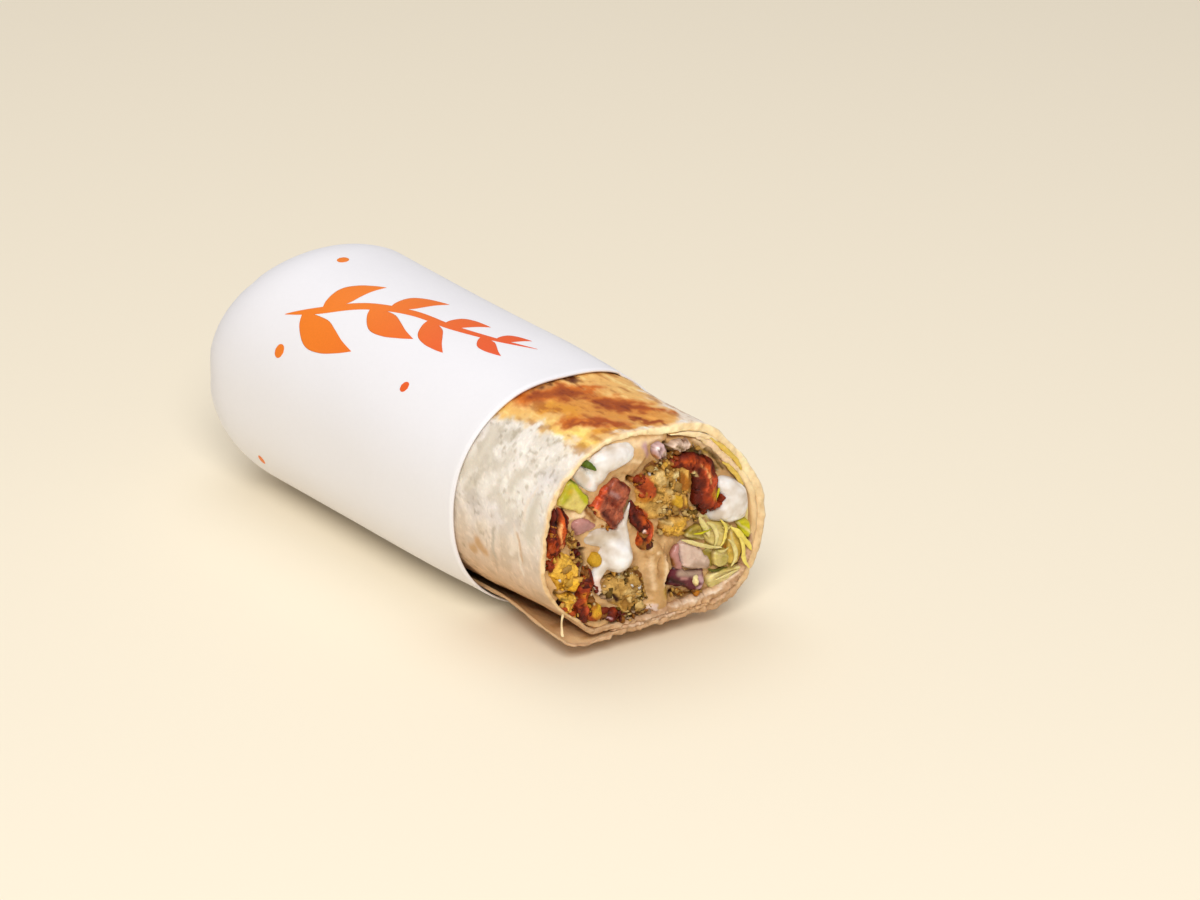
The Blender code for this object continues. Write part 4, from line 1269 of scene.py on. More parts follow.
def make_onions(material):
    left = Body()
    outline = (
        (-21.4, 34.7), (-21.2, 32.8), (-20.2, 31.2), (-18.0, 31.4), (-15.6, 31.8), (-14.6, 32.6), (-15.8, 33.8),
        (-17.8, 35.1), (-19.8, 35.5),
    )
    marks = (
        mark("gap_olive_shade", (-21.6, 34.6, 0.4), (-21.3, 32.6, 0.4), soft=0.3),
        mark("onion_rose", (-19.6, 33.0, 2.0), (-17.4, 33.2, 1.8), soft=0.8),
    )
    add_lump(left, outline, "onion_pink", marks, grain=flesh_grain, rise=0.3, seed=81, end=FILLING_END)
    left.build("onion_left_slice", material, "onion", "onion_left")

    right = Body()
    wedge = (
        (7.0, 23.1), (6.8, 21.0), (7.3, 18.8), (8.2, 17.0), (9.6, 15.9), (12.8, 15.1), (15.6, 14.9), (16.1, 16.2),
        (15.4, 17.8), (14.0, 19.6), (12.2, 21.4), (10.2, 22.8), (8.4, 23.5),
    )
    wedge_marks = (
        mark("onion_grey", (10.6, 17.2, 1.6), (14.6, 16.0, 1.4), soft=0.9),
        mark("sauce_pink", (7.4, 22.2, 0.5), (7.5, 19.4, 0.5), (8.6, 17.2, 0.4), soft=0.4),
    )
    add_lump(right, wedge, "onion", wedge_marks, grain=flesh_grain, rise=1.2, seed=83, end=FILLING_END)
    skin = ((6.9, 23.2, 0.6), (6.0, 21.6, 1.9), (6.2, 19.6, 2.1), (7.0, 17.8, 1.7), (8.0, 16.6, 0.6))
    skin_marks_ = (
        mark("brown", (4.9, 19.8, 0.9), (5.6, 18.2, 1.0), soft=0.5),
        mark("onion_purple", (6.8, 21.8, 0.25), (6.9, 19.2, 0.25), soft=0.25),
    )
    add_rib(right, skin, "onion_pink", skin_marks_, grain=flesh_grain, depth=2.0, lift=0.0, seed=85)
    right.build("onion_right_slice", material, "onion", "onion_right")

    dark = Body()
    lower = (
        (5.4, 17.6), (4.7, 15.6), (4.0, 13.6), (5.6, 12.9), (8.2, 11.6), (10.6, 10.2), (13.4, 9.7), (14.8, 11.2),
        (14.7, 13.6), (14.2, 15.1), (11.4, 15.3), (9.2, 15.9), (7.2, 17.6),
    )
    dark_marks = (
        mark("onion_grey", (7.4, 16.0, 1.6), (9.2, 15.2, 1.4), (12.6, 14.6, 1.2), soft=0.7),
        mark("gap_shade", (5.6, 17.4, 1.0), (7.2, 17.6, 0.7), soft=0.4),
        mark("gap_shade", (4.3, 14.0, 1.0), (5.2, 14.6, 1.2), (8.2, 12.8, 0.8), soft=0.5),
        # Painted highlight: a lilac glint on the dark slice.
        mark("onion_lilac", (12.4, 13.4, 1.4), (14.0, 12.4, 1.6), soft=0.5, gloss=1.0),
        mark("onion_lilac", (12.2, 10.8, 1.0), (13.8, 10.9, 0.9), soft=0.5),
        mark("onion_pink", (7.6, 14.6, 0.6), (8.8, 14.2, 0.6), soft=0.5),
    )
    add_lump(dark, lower, "onion_purple", dark_marks, grain=flesh_grain, rise=0.7, seed=87, end=FILLING_END)
    crumb = ((9.9, 13.4), (10.4, 11.9), (11.6, 11.7), (12.2, 12.9), (11.8, 14.4), (10.6, 14.5))
    add_lump(dark, crumb, "pale", rise=1.7, depth=1.2, edge=3.0, seed=89)
    dark.build("onion_dark_slice", material, "onion", "onion_dark")

    top = Body()
    first = ((-0.6, 47.6), (0.0, 46.0), (1.4, 45.0), (3.2, 44.8), (3.6, 46.4), (2.8, 48.4), (1.2, 49.3), (-0.2, 49.0))
    first_marks = (
        # Painted highlight: a white glint on the first lump.
        mark("sauce", (0.2, 48.2, 0.5), soft=0.4, rise=0.2, gloss=1.0),
        mark("onion_purple", (1.4, 45.4, 0.6), (2.6, 47.6, 0.5), soft=0.4),
        mark("onion_grey", (2.2, 46.6, 1.4), soft=0.6),
        mark("brown", (-0.4, 47.0, 0.6), (0.6, 45.6, 0.5), soft=0.4),
    )
    add_lump(top, first, "onion_mauve", first_marks, grain=crust_grain, rise=0.7, seed=91, end=FILLING_END)
    second = ((4.0, 47.6), (5.2, 46.0), (7.0, 45.3), (8.8, 45.8), (9.8, 47.2), (9.2, 48.4), (6.8, 49.0), (4.8, 48.9))
    second_marks = (
        # Painted highlight: a pale lilac glint on the second lump.
        mark("onion", (7.4, 47.2, 1.0), (8.8, 47.4, 1.0), soft=0.5, rise=0.2, gloss=0.8),
        mark("gap_olive_shade", (5.4, 47.6, 0.4), (7.0, 46.4, 0.4), soft=0.4),
    )
    add_lump(top, second, "onion_grey", second_marks, grain=crust_grain, rise=0.8, seed=93)
    top.build("onion_top_slice", material, "onion", "onion_top")


LEAVES = (
    ("lettuce_khaki", 0.1, (0.1, -0.12), ((8.6, 24.9), (10.2, 23.5), (12.6, 22.6), (14.8, 22.2), (15.0, 24.2), (13.4, 26.2),
                                (10.8, 26.4))),
    ("lettuce_khaki", -0.3, (0.2, 0.1), ((11.0, 20.9), (13.2, 19.6), (16.0, 19.9), (17.6, 18.4), (17.4, 15.6),
                                 (15.6, 15.2), (13.8, 17.2))),
    ("lettuce", 0.5, (-0.15, 0.25), ((13.6, 25.9), (17.0, 26.4), (20.6, 25.0), (19.4, 22.4), (17.8, 20.1), (15.6, 20.9),
                                     (13.9, 22.8))),
    ("lettuce", 0.2, (0.25, 0.1), ((16.6, 18.7), (18.8, 19.4), (20.8, 18.4), (21.6, 16.2), (20.4, 14.4), (17.6, 14.7),
                                   (16.4, 16.4))),
    ("lettuce_gold", 0.1, (-0.2, 0.0), ((21.2, 23.4), (22.6, 22.4), (24.0, 19.6), (24.2, 16.4), (23.2, 14.2), (21.2, 14.5),
                                        (20.6, 17.2), (21.0, 20.4))),
    ("lettuce_lime", 0.5, (-0.2, 0.2), ((22.8, 24.6), (24.6, 25.6), (26.0, 24.6), (26.2, 21.6), (25.2, 20.6), (24.0, 22.4))),
    ("lettuce_pale", 0.5, (0.0, -0.25), ((15.2, 13.2), (18.0, 13.9), (21.6, 13.9), (24.6, 13.6), (23.0, 11.6), (19.6, 10.2),
                                         (16.4, 9.6), (15.2, 11.0))),
)

# Narrow shreds seen on edge: tone, lift towards the viewer, sideways tilt, and (x, z, width) places.
SHREDS = (
    ("lettuce_pale", 0.9, 0.5, ((11.9, 28.9, 0.6), (13.0, 26.8, 1.2), (14.0, 24.8, 1.1), (14.8, 23.0, 0.3))),
    ("lettuce_pale", 1.2, 0.5, ((6.8, 24.5, 0.4), (9.6, 23.2, 1.0), (12.4, 21.9, 1.1), (15.2, 20.8, 1.0), (18.0, 20.1, 0.4))),
    ("lettuce_bright", 1.3, 0.4, ((20.2, 24.7, 0.4), (22.2, 22.9, 1.4), (24.0, 20.6, 1.4), (25.4, 18.9, 1.0), (26.2, 17.4, 0.3))),
    ("lettuce_bright", 1.2, -0.4, ((22.8, 21.8, 0.6), (23.8, 19.0, 1.3), (24.0, 16.6, 1.5), (24.6, 14.8, 1.0), (25.8, 12.9, 0.3))),
    ("lettuce_pale", 1.0, 0.3, ((17.0, 19.4, 0.4), (18.4, 18.9, 0.8), (20.2, 19.6, 0.3))),
    ("lettuce", 0.8, 0.3, ((18.2, 24.8, 0.5), (19.8, 24.2, 0.9), (21.0, 24.6, 0.4))),
    ("lettuce_dark", 0.7, 0.3, ((14.6, 15.2, 0.5), (16.0, 14.5, 0.8), (18.2, 14.3, 0.4), (20.2, 14.3, 0.3))),
    ("lettuce_pale", 1.3, 0.4, ((13.6, 27.6, 0.4), (15.6, 25.6, 1.0), (16.4, 23.0, 0.8), (15.8, 20.8, 0.3))),
    ("lettuce_bright", 1.3, -0.3, ((17.4, 27.2, 0.4), (18.8, 24.8, 0.9), (18.6, 22.2, 0.9), (17.4, 20.4, 0.3))),
    ("lettuce_pale", 1.4, 0.3, ((19.4, 21.8, 0.3), (21.2, 19.6, 0.9), (21.6, 16.8, 0.8), (20.4, 14.6, 0.3))),
    ("lettuce_pale", 1.1, 0.4, ((16.2, 12.2, 0.4), (19.4, 12.6, 0.9), (22.8, 13.4, 0.4))),
    ("lettuce_lime", 1.0, 0.3, ((10.2, 25.2, 0.3), (12.6, 24.8, 0.7), (15.2, 25.2, 0.3))),
    ("lettuce_lime", 0.6, 0.3, ((17.6, 34.8, 0.3), (16.8, 33.4, 0.7), (16.4, 31.8, 0.3))),
)


def make_lettuce(material):
    body = Body()
    core = (
        (13.5, 27.6), (10.2, 26.6), (8.4, 25.2), (10.2, 21.6), (13.0, 19.2), (15.6, 16.2), (14.8, 12.4), (15.6, 9.4),
        (20.0, 9.4), (24.0, 12.4), (25.8, 16.6), (26.6, 20.6), (26.2, 25.2), (21.0, 26.0), (17.0, 27.0),
    )
    core_marks = (
        mark("gap_olive_shade", (9.8, 26.4, 1.2), (12.6, 27.0, 1.4), (15.6, 26.2, 1.0), soft=0.6),
        mark("gap_olive_shade", (20.8, 23.4, 0.9), (19.4, 20.8, 2.2), soft=0.7, rise=-0.5),
        mark("amber", (20.4, 18.8, 1.6), (22.6, 18.0, 2.2), (21.8, 16.6, 1.0), soft=0.8),
        mark("lettuce_dark", (14.6, 15.0, 1.0), (16.6, 14.2, 1.2), (21.0, 14.2, 0.7), soft=0.4, rise=-0.5),
    )
    add_lump(body, core, "lettuce_khaki", core_marks, grain=soft_grain, rise=-0.7, seed=101, end=FILLING_END)
    for number, (tone, rise, slant, outline) in enumerate(LEAVES):
        add_lump(body, outline, tone, leaf_marks(outline), grain=leaf_grain, rise=rise, depth=1.0, edge=16.0,
                 seed=110 + number, slant=slant, ragged=0.15)
    for number, (tone, lift, tilt, path) in enumerate(SHREDS):
        add_rib(body, path, tone, grain=leaf_grain, depth=0.5, lift=lift, seed=130 + number, flat=0.5, tilt=tilt, ragged=0.12)
    ribs = (
        ("spread_light", ((11.0, 48.6, 0.5), (13.8, 46.7, 1.5), (17.2, 43.6, 1.7), (20.4, 40.2, 1.3), (22.6, 37.2, 0.5))),
        ("lettuce_gold", ((18.4, 41.0, 0.5), (20.8, 38.6, 1.3), (22.6, 36.4, 1.2), (24.2, 33.8, 0.4))),
        ("lettuce_gold", ((14.6, 47.4, 0.4), (18.2, 44.6, 1.2), (21.6, 40.8, 1.2), (24.0, 37.2, 0.5))),
    )
    for number, (tone, path) in enumerate(ribs):
        add_rib(body, path, tone, grain=leaf_grain, depth=1.0, lift=0.2, seed=160 + number, flat=0.7, ragged=0.2)
    return body.build("lettuce_shreds", material, "lettuce", "lettuce")


def leaf_marks(outline):
    """A pale vein along a leaf and a darker side."""
    (x0, z0), (x1, z1) = outline[0], outline[len(outline) // 2]
    (x2, z2), (x3, z3) = outline[1], outline[2]
    vein = mark("lettuce_pale", (x0, z0, 0.5), ((x0 + x1) / 2, (z0 + z1) / 2 + 0.3, 0.4), (x1, z1, 0.3), soft=0.35, rise=0.1)
    shaded = mark("lettuce_khaki", (x2, z2, 0.5), (x3, z3, 0.7), soft=0.8)
    return (shaded, vein)


# --- Sauces ---


def blob_mesh(strokes, voxel, rounds):
    """Smooth mass round (x, along, z, radius) strokes."""
    shape = bmesh.new()
    for stroke in strokes:
        places = np.array(stroke, float)
        line = curve_through(places[:, (0, 2, 1, 3)], 0.45) if len(places) > 1 else places[:, (0, 2, 1, 3)]
        for x, z, along, size in line:
            spot = sheared(x, along, z)
            bmesh.ops.create_icosphere(shape, subdivisions=2, radius=size, matrix=Matrix.Translation(spot))
    mesh = bpy.data.meshes.new("blob")
    shape.to_mesh(mesh)
    shape.free()
    holder = bpy.data.objects.new("blob", mesh)
    bpy.context.scene.collection.objects.link(holder)
    remesh = holder.modifiers.new("mass", "REMESH")
    remesh.mode = "VOXEL"
    remesh.voxel_size = voxel
    flow = holder.modifiers.new("flow", "SMOOTH")
    flow.iterations = rounds
    flow.factor = 0.5
    result = holder.evaluated_get(bpy.context.evaluated_depsgraph_get()).to_mesh()
    points = np.array([vertex.co for vertex in result.vertices])
    faces = [tuple(face.vertices) for face in result.polygons]
    bpy.data.objects.remove(holder)
    bpy.data.meshes.remove(mesh)
    return points, faces


def add_blob(body, strokes, tone, marks=(), voxel=0.3, rounds=6, seed=1):
    points, faces = blob_mesh(strokes, voxel, rounds)
    height, colour, _ = dress(points, tone, marks, soft_grain, seed)
    colour = colour / TONES[tone] * TONES[tone]
    points = points - np.stack([0 * height, 0.25 * height, 0 * height], -1)
    body.add(points, faces, colour, 1.0)


def add_tail(body, outline, tone, start):
    """Plain length of a filling behind its front."""
    rim = curve_through(outline, 1.0, closed=True)
    rows = [row for row in (start, 12.0, 32.0, 62.0, 90.0, FILLING_END)]
    tail = [follow_roll(rim[:, 0], rim[:, 1], np.full(len(rim), row)) for row in rows]
    middle = rim.mean(0)
    ends = [follow_roll(middle[:1], middle[1:], np.array([row])) for row in (rows[0], rows[-1])]
    count = len(rim)
    faces = grid_faces(len(rows), count, wrap=True)
    faces += fan_faces(0, len(rows) * count, count)
    faces += fan_faces((len(rows) - 1) * count, len(rows) * count + 1, count)
    body.add(np.concatenate([*tail, *ends]), faces, TONES[tone])


def oval(x, z, wide, high, turn=0.0):
    """Eight places on an ellipse, for an outline."""
    places = []
    for step in range(8):
        angle = math.tau * step / 8
        across = wide / 2 * math.cos(angle)
        upward = high / 2 * math.sin(angle)
        tilt = math.radians(turn)
        places.append((x + across * math.cos(tilt) - upward * math.sin(tilt), z + across * math.sin(tilt) + upward * math.cos(tilt)))
    return places


def make_sauces(material):
    top = Body()
    strokes = (
        ((-15.0, 0.8, 47.4, 2.5), (-12.2, 0.4, 47.9, 2.9), (-9.4, 0.5, 48.3, 2.7), (-6.9, 1.0, 48.0, 1.9)),
        ((-13.8, 0.6, 46.6, 2.4), (-14.4, 0.6, 44.8, 2.0), (-14.0, 1.0, 43.2, 1.1)),
        ((-19.0, 1.8, 46.0, 2.1), (-17.8, 1.6, 44.2, 2.0), (-16.4, 1.4, 42.6, 1.6), (-15.2, 1.4, 41.6, 1.2)),
        ((-12.6, 1.6, 49.8, 1.5), (-10.0, 1.4, 50.4, 1.4), (-7.4, 1.2, 50.2, 1.3), (-5.6, 1.4, 48.8, 1.2)),
    )
    marks = (
        mark("sauce_shade", (-19.4, 46.4, 1.6), (-18.4, 44.6, 1.8), soft=0.9),
        mark("sauce_pink", (-17.2, 43.0, 1.4), soft=0.8),
    )
    add_blob(top, strokes, "sauce", marks, seed=121)
    add_tail(top, oval(-11.4, 46.6, 12.0, 4.8, 10.0), "sauce", 3.0)
    top.build("sauce_top_swirl", material, "white_sauce", "sauce_top")

    middle = Body()
    strokes = (
        ((-10.6, 0.8, 26.4, 3.2), (-9.6, 0.2, 24.2, 3.9), (-8.8, 0.6, 22.6, 2.9)),
        ((-17.4, 2.0, 29.4, 1.4), (-15.4, 1.6, 29.6, 2.2), (-12.6, 1.4, 29.0, 2.5), (-9.6, 1.0, 28.0, 2.4)),
        ((-8.0, -0.2, 31.2, 0.9), (-8.0, -0.8, 28.4, 1.0), (-8.2, -1.2, 25.6, 1.4)),
        ((-8.4, 0.4, 30.0, 1.3), (-7.5, 0.2, 32.4, 0.8), (-6.8, 0.0, 34.8, 0.5), (-6.3, 0.0, 36.8, 0.25)),
        ((-13.2, 0.4, 22.8, 1.8), (-14.8, 0.2, 20.6, 1.5), (-15.3, 0.0, 19.0, 1.1), (-14.7, 0.0, 17.4, 0.95), (-14.3, 0.2, 15.8, 0.6)),
        ((-12.6, 1.0, 25.0, 2.0), (-13.2, 1.0, 22.0, 1.6)),
    )
    marks = (
        mark("sauce_shade", (-17.2, 30.2, 2.4), (-13.6, 30.4, 2.6), (-10.4, 29.8, 1.8), soft=1.4),
        mark("sauce_pink", (-15.2, 19.0, 2.2), (-14.6, 15.8, 2.0), soft=0.9),
    )
    add_blob(middle, strokes, "sauce", marks, seed=123)
    add_tail(middle, oval(-10.0, 25.5, 8.0, 12.0, -30.0), "sauce", 3.0)
    middle.build("sauce_middle_swirl", material, "white_sauce", "sauce_middle")

    right = Body()
    strokes = (
        ((18.9, 0.8, 35.2, 1.9), (20.4, 0.6, 33.8, 2.6), (22.2, 0.6, 31.4, 3.3), (22.6, 0.6, 28.8, 3.2)),
        ((20.6, 0.2, 31.2, 2.8), (19.8, 0.4, 28.9, 2.8), (17.4, 1.0, 28.0, 1.9), (15.6, 1.4, 28.4, 1.2)),
        ((21.0, 0.6, 27.4, 2.4), (23.6, 0.8, 27.2, 2.2)),
    )
    add_blob(right, strokes, "sauce", seed=125)
    add_tail(right, oval(20.0, 29.4, 8.0, 8.4, 18.0), "sauce", 3.0)
    right.build("sauce_right_swirl", material, "white_sauce", "sauce_right")


# --- Loose crumbs ---

# Where crumbs lie: how many, their width in millimetres, tones, and the stroke that they lie on.
CRUMB_ZONES = (
    (84, 0.85, ("crumb", "crumb", "khaki", "khaki_light"), ((-1, 42, 5), (4, 41, 5), (6, 35, 6), (0, 33, 5))),
    (22, 0.7, ("pale", "crumb_yellow", "khaki_light"), ((1, 42, 6), (5, 34, 7))),
    (30, 0.5, ("brown", "gap_olive_shade"), ((-1, 42, 5), (4, 41, 5), (6, 35, 6), (0, 33, 5))),
    (34, 0.8, ("rust", "rust_deep", "maroon", "amber"), ((-4, 41, 3), (-2, 37, 3))),
    (44, 0.8, ("maroon", "rust_deep", "rust", "brown"), ((-5.6, 35, 2.0), (-4.0, 32, 2.4), (-2.4, 28, 3), (-2, 24, 2))),
    (46, 0.8, ("rust", "rust_deep", "maroon", "amber"), ((6, 43.6, 2), (11, 42.6, 3), (14, 38, 5), (14, 32, 5))),
    (34, 0.7, ("khaki", "crumb", "gap_olive_shade", "khaki_light"), ((1.5, 31.6, 1.6), (5, 31, 2), (9.6, 30.6, 2), (11.2, 28.4, 1.4))),
    (44, 0.8, ("crumb_yellow", "crumb", "khaki_light"), ((3, 28, 3), (6, 26.8, 3), (9, 28, 3))),
    (60, 0.85, ("crumb_yellow", "crumb_gold", "crumb_yellow", "crumb"), ((-25.4, 25.6, 3), (-23.4, 23, 5), (-22, 20, 5))),
    (30, 0.8, ("brown", "khaki", "maroon", "crumb"), ((-22.6, 34, 2), (-22, 30, 3), (-20.4, 27.4, 2.4), (-20, 23, 2))),
    (34, 0.8, ("crumb_yellow", "rust", "crumb", "crumb_gold"), ((-22.8, 16.6, 3), (-21.8, 13, 3.4), (-20.4, 12, 2))),
    (38, 0.8, ("rust", "rust_deep", "maroon", "amber"), ((-26, 36, 2.4), (-26.4, 31, 2.4), (-25.8, 28, 2.4))),
    (60, 0.9, ("rust_deep", "maroon", "rust", "brown", "amber"), ((-18.4, 22, 3), (-18, 17, 4), (-18.6, 12, 4))),
    (26, 0.8, ("amber", "crumb_gold", "chickpea", "rust"), ((-17, 13, 2.4), (-15.4, 11, 3.4))),
    (84, 0.75, ("khaki", "crumb", "khaki_light", "gap_olive_shade"), ((-12, 17, 4), (-6, 17, 7), (-6, 11, 7), (-3, 13, 5))),
    (46, 0.5, ("pale", "khaki_light", "spread_light"), ((-10, 17, 4), (-6, 16, 6), (-4, 13, 6))),
    (34, 0.7, ("maroon", "rust_deep", "brown"), ((-12.6, 10, 2.4), (-9, 9, 3))),
    (44, 0.6, ("brown", "khaki", "grey", "khaki_light"), ((-8, 7.9, 1.4), (-3, 8.8, 2.0), (1, 8.6, 1.8))),
    (30, 0.6, ("khaki", "brown", "grey"), ((0, 46, 1.6), (4, 45.6, 1.4), (9.6, 46.4, 1.6), (13, 43.8, 1.0))),
    (22, 0.6, ("brown", "amber", "rust_deep"), ((-17, 37.6, 1.2), (-13.4, 33, 1.2), (-10.4, 31, 1.0), (-6, 41.6, 1.4))),
    (26, 0.6, ("brown", "khaki", "amber"), ((5.6, 11.4, 2), (9.4, 9.8, 2.0), (13.4, 9.6, 1.4))),
    (16, 0.5, ("crumb", "brown", "spread_light"), ((-16.4, 15.4, 2), (-13.4, 16.6, 2))),
    (7, 1.3, ("rust_deep", "brown"), ((18.6, 31.6, 0.9), (19.6, 31.2, 0.9))),
    (3, 0.9, ("rust_deep", "maroon"), ((-27.6, 26.6, 0.6), (-27.4, 25.6, 0.6))),
    # Painted highlights: tiny bright crumbs that stand for wet glints.
    (26, 0.34, ("sauce", "pale"), ((-11, 16.6, 4), (-6, 17.4, 4), (-4, 12, 5))),
    (30, 0.32, ("sauce", "pale"), ((0, 41, 5), (4, 37, 6), (6, 32, 5))),
    (14, 0.32, ("sauce_pink", "pale"), ((12.6, 40, 3), (13, 34, 4))),
    (16, 0.34, ("pale", "sauce"), ((-25, 23, 3), (-22, 20, 4))),
)


def add_crumbs(body, count, size, tones, path, chance):
    """Small uneven lumps scattered along a stroke."""
    shape = bmesh.new()
    bmesh.ops.create_icosphere(shape, subdivisions=2, radius=0.5)
    ball = np.array([vertex.co for vertex in shape.verts])
    ball_faces = np.array([[vertex.index for vertex in face.verts] for face in shape.faces])
    shape.free()
    places = curve_through(path, 0.3) if len(path) > 2 else np.array(path, float)
    spot = places[chance.integers(0, len(places), count)]
    turn = chance.uniform(0.0, math.tau, count)
    away = spot[:, 2] / 2 * np.sqrt(chance.uniform(0.0, 1.0, count))
    centre = np.stack([spot[:, 0] + away * np.cos(turn), chance.uniform(-0.3, 0.4, count),
                       spot[:, 1] + away * np.sin(turn)], -1)
    wide = size * np.exp(chance.normal(0.0, 0.45, count)).clip(0.4, 2.2)
    stretch = chance.uniform(0.5, 1.5, (count, 1, 3))
    lump = 1.0 + 0.85 * value_noise(ball * 3.0 + chance.uniform(0, 90, (count, 1, 3)), 7)[..., None]
    points = centre[:, None, :] + ball * lump * stretch * wide[:, None, None]
    points = sheared(points[..., 0], points[..., 1], points[..., 2])
    tone = np.array([TONES[name] for name in tones])[chance.integers(0, len(tones), count)]
    shade = chance.uniform(0.7, 1.1, (count, 1, 1)) * (1.0 + 0.3 * value_noise(points * 3.0, 8)[..., None])
    # Painted shade: each crumb is darker on its lower and back side.
    shade = shade * painted_crevice_shade(0.55 + ball[None, :, 2] + 0 * points[..., 0] - 0.6 * ball[None, :, 1], 0.55)
    faces = (ball_faces[None] + np.arange(count)[:, None, None] * len(ball)).reshape(-1, 3)
    gloss = np.repeat(chance.uniform(0.0, 0.8, count), len(ball))
    body.add(points, faces.tolist(), (tone[:, None, :] * shade).reshape(-1, 3), gloss)


def make_crumbs(material):
    body = Body()
    chance = np.random.default_rng(17)
    for count, size, tones, path in CRUMB_ZONES:
        add_crumbs(body, count, size, tones, path, chance)
    return body.build("falafel_crumbs", material, "falafel")


def make_herb(material):
    body = Body()
    flake = ((-18.9, 48.7), (-18.5, 47.6), (-17.4, 46.9), (-16.2, 46.4), (-16.5, 47.4), (-17.2, 48.5), (-18.1, 49.2))
    add_lump(body, flake, "herb", grain=leaf_grain, rise=1.7, depth=0.4, edge=8.0, seed=171)
    return body.build("herb_flake", material, "lettuce")


# --- Spread: fills what is left of the cut ---


def wall_reach(angle):
    """Distance from the middle to the inside of the bread at the cut."""
    turned = (np.degrees(angle) - FLAP_ANGLE) % 360.0
    second = turned + 360.0 <= ROLL_ANGLE
    depth = np.where(second, layer_inset(turned + 360.0), layer_inset(turned)) + bread_thickness(turned)
    return radius(angle, 0.0 * angle, -depth)


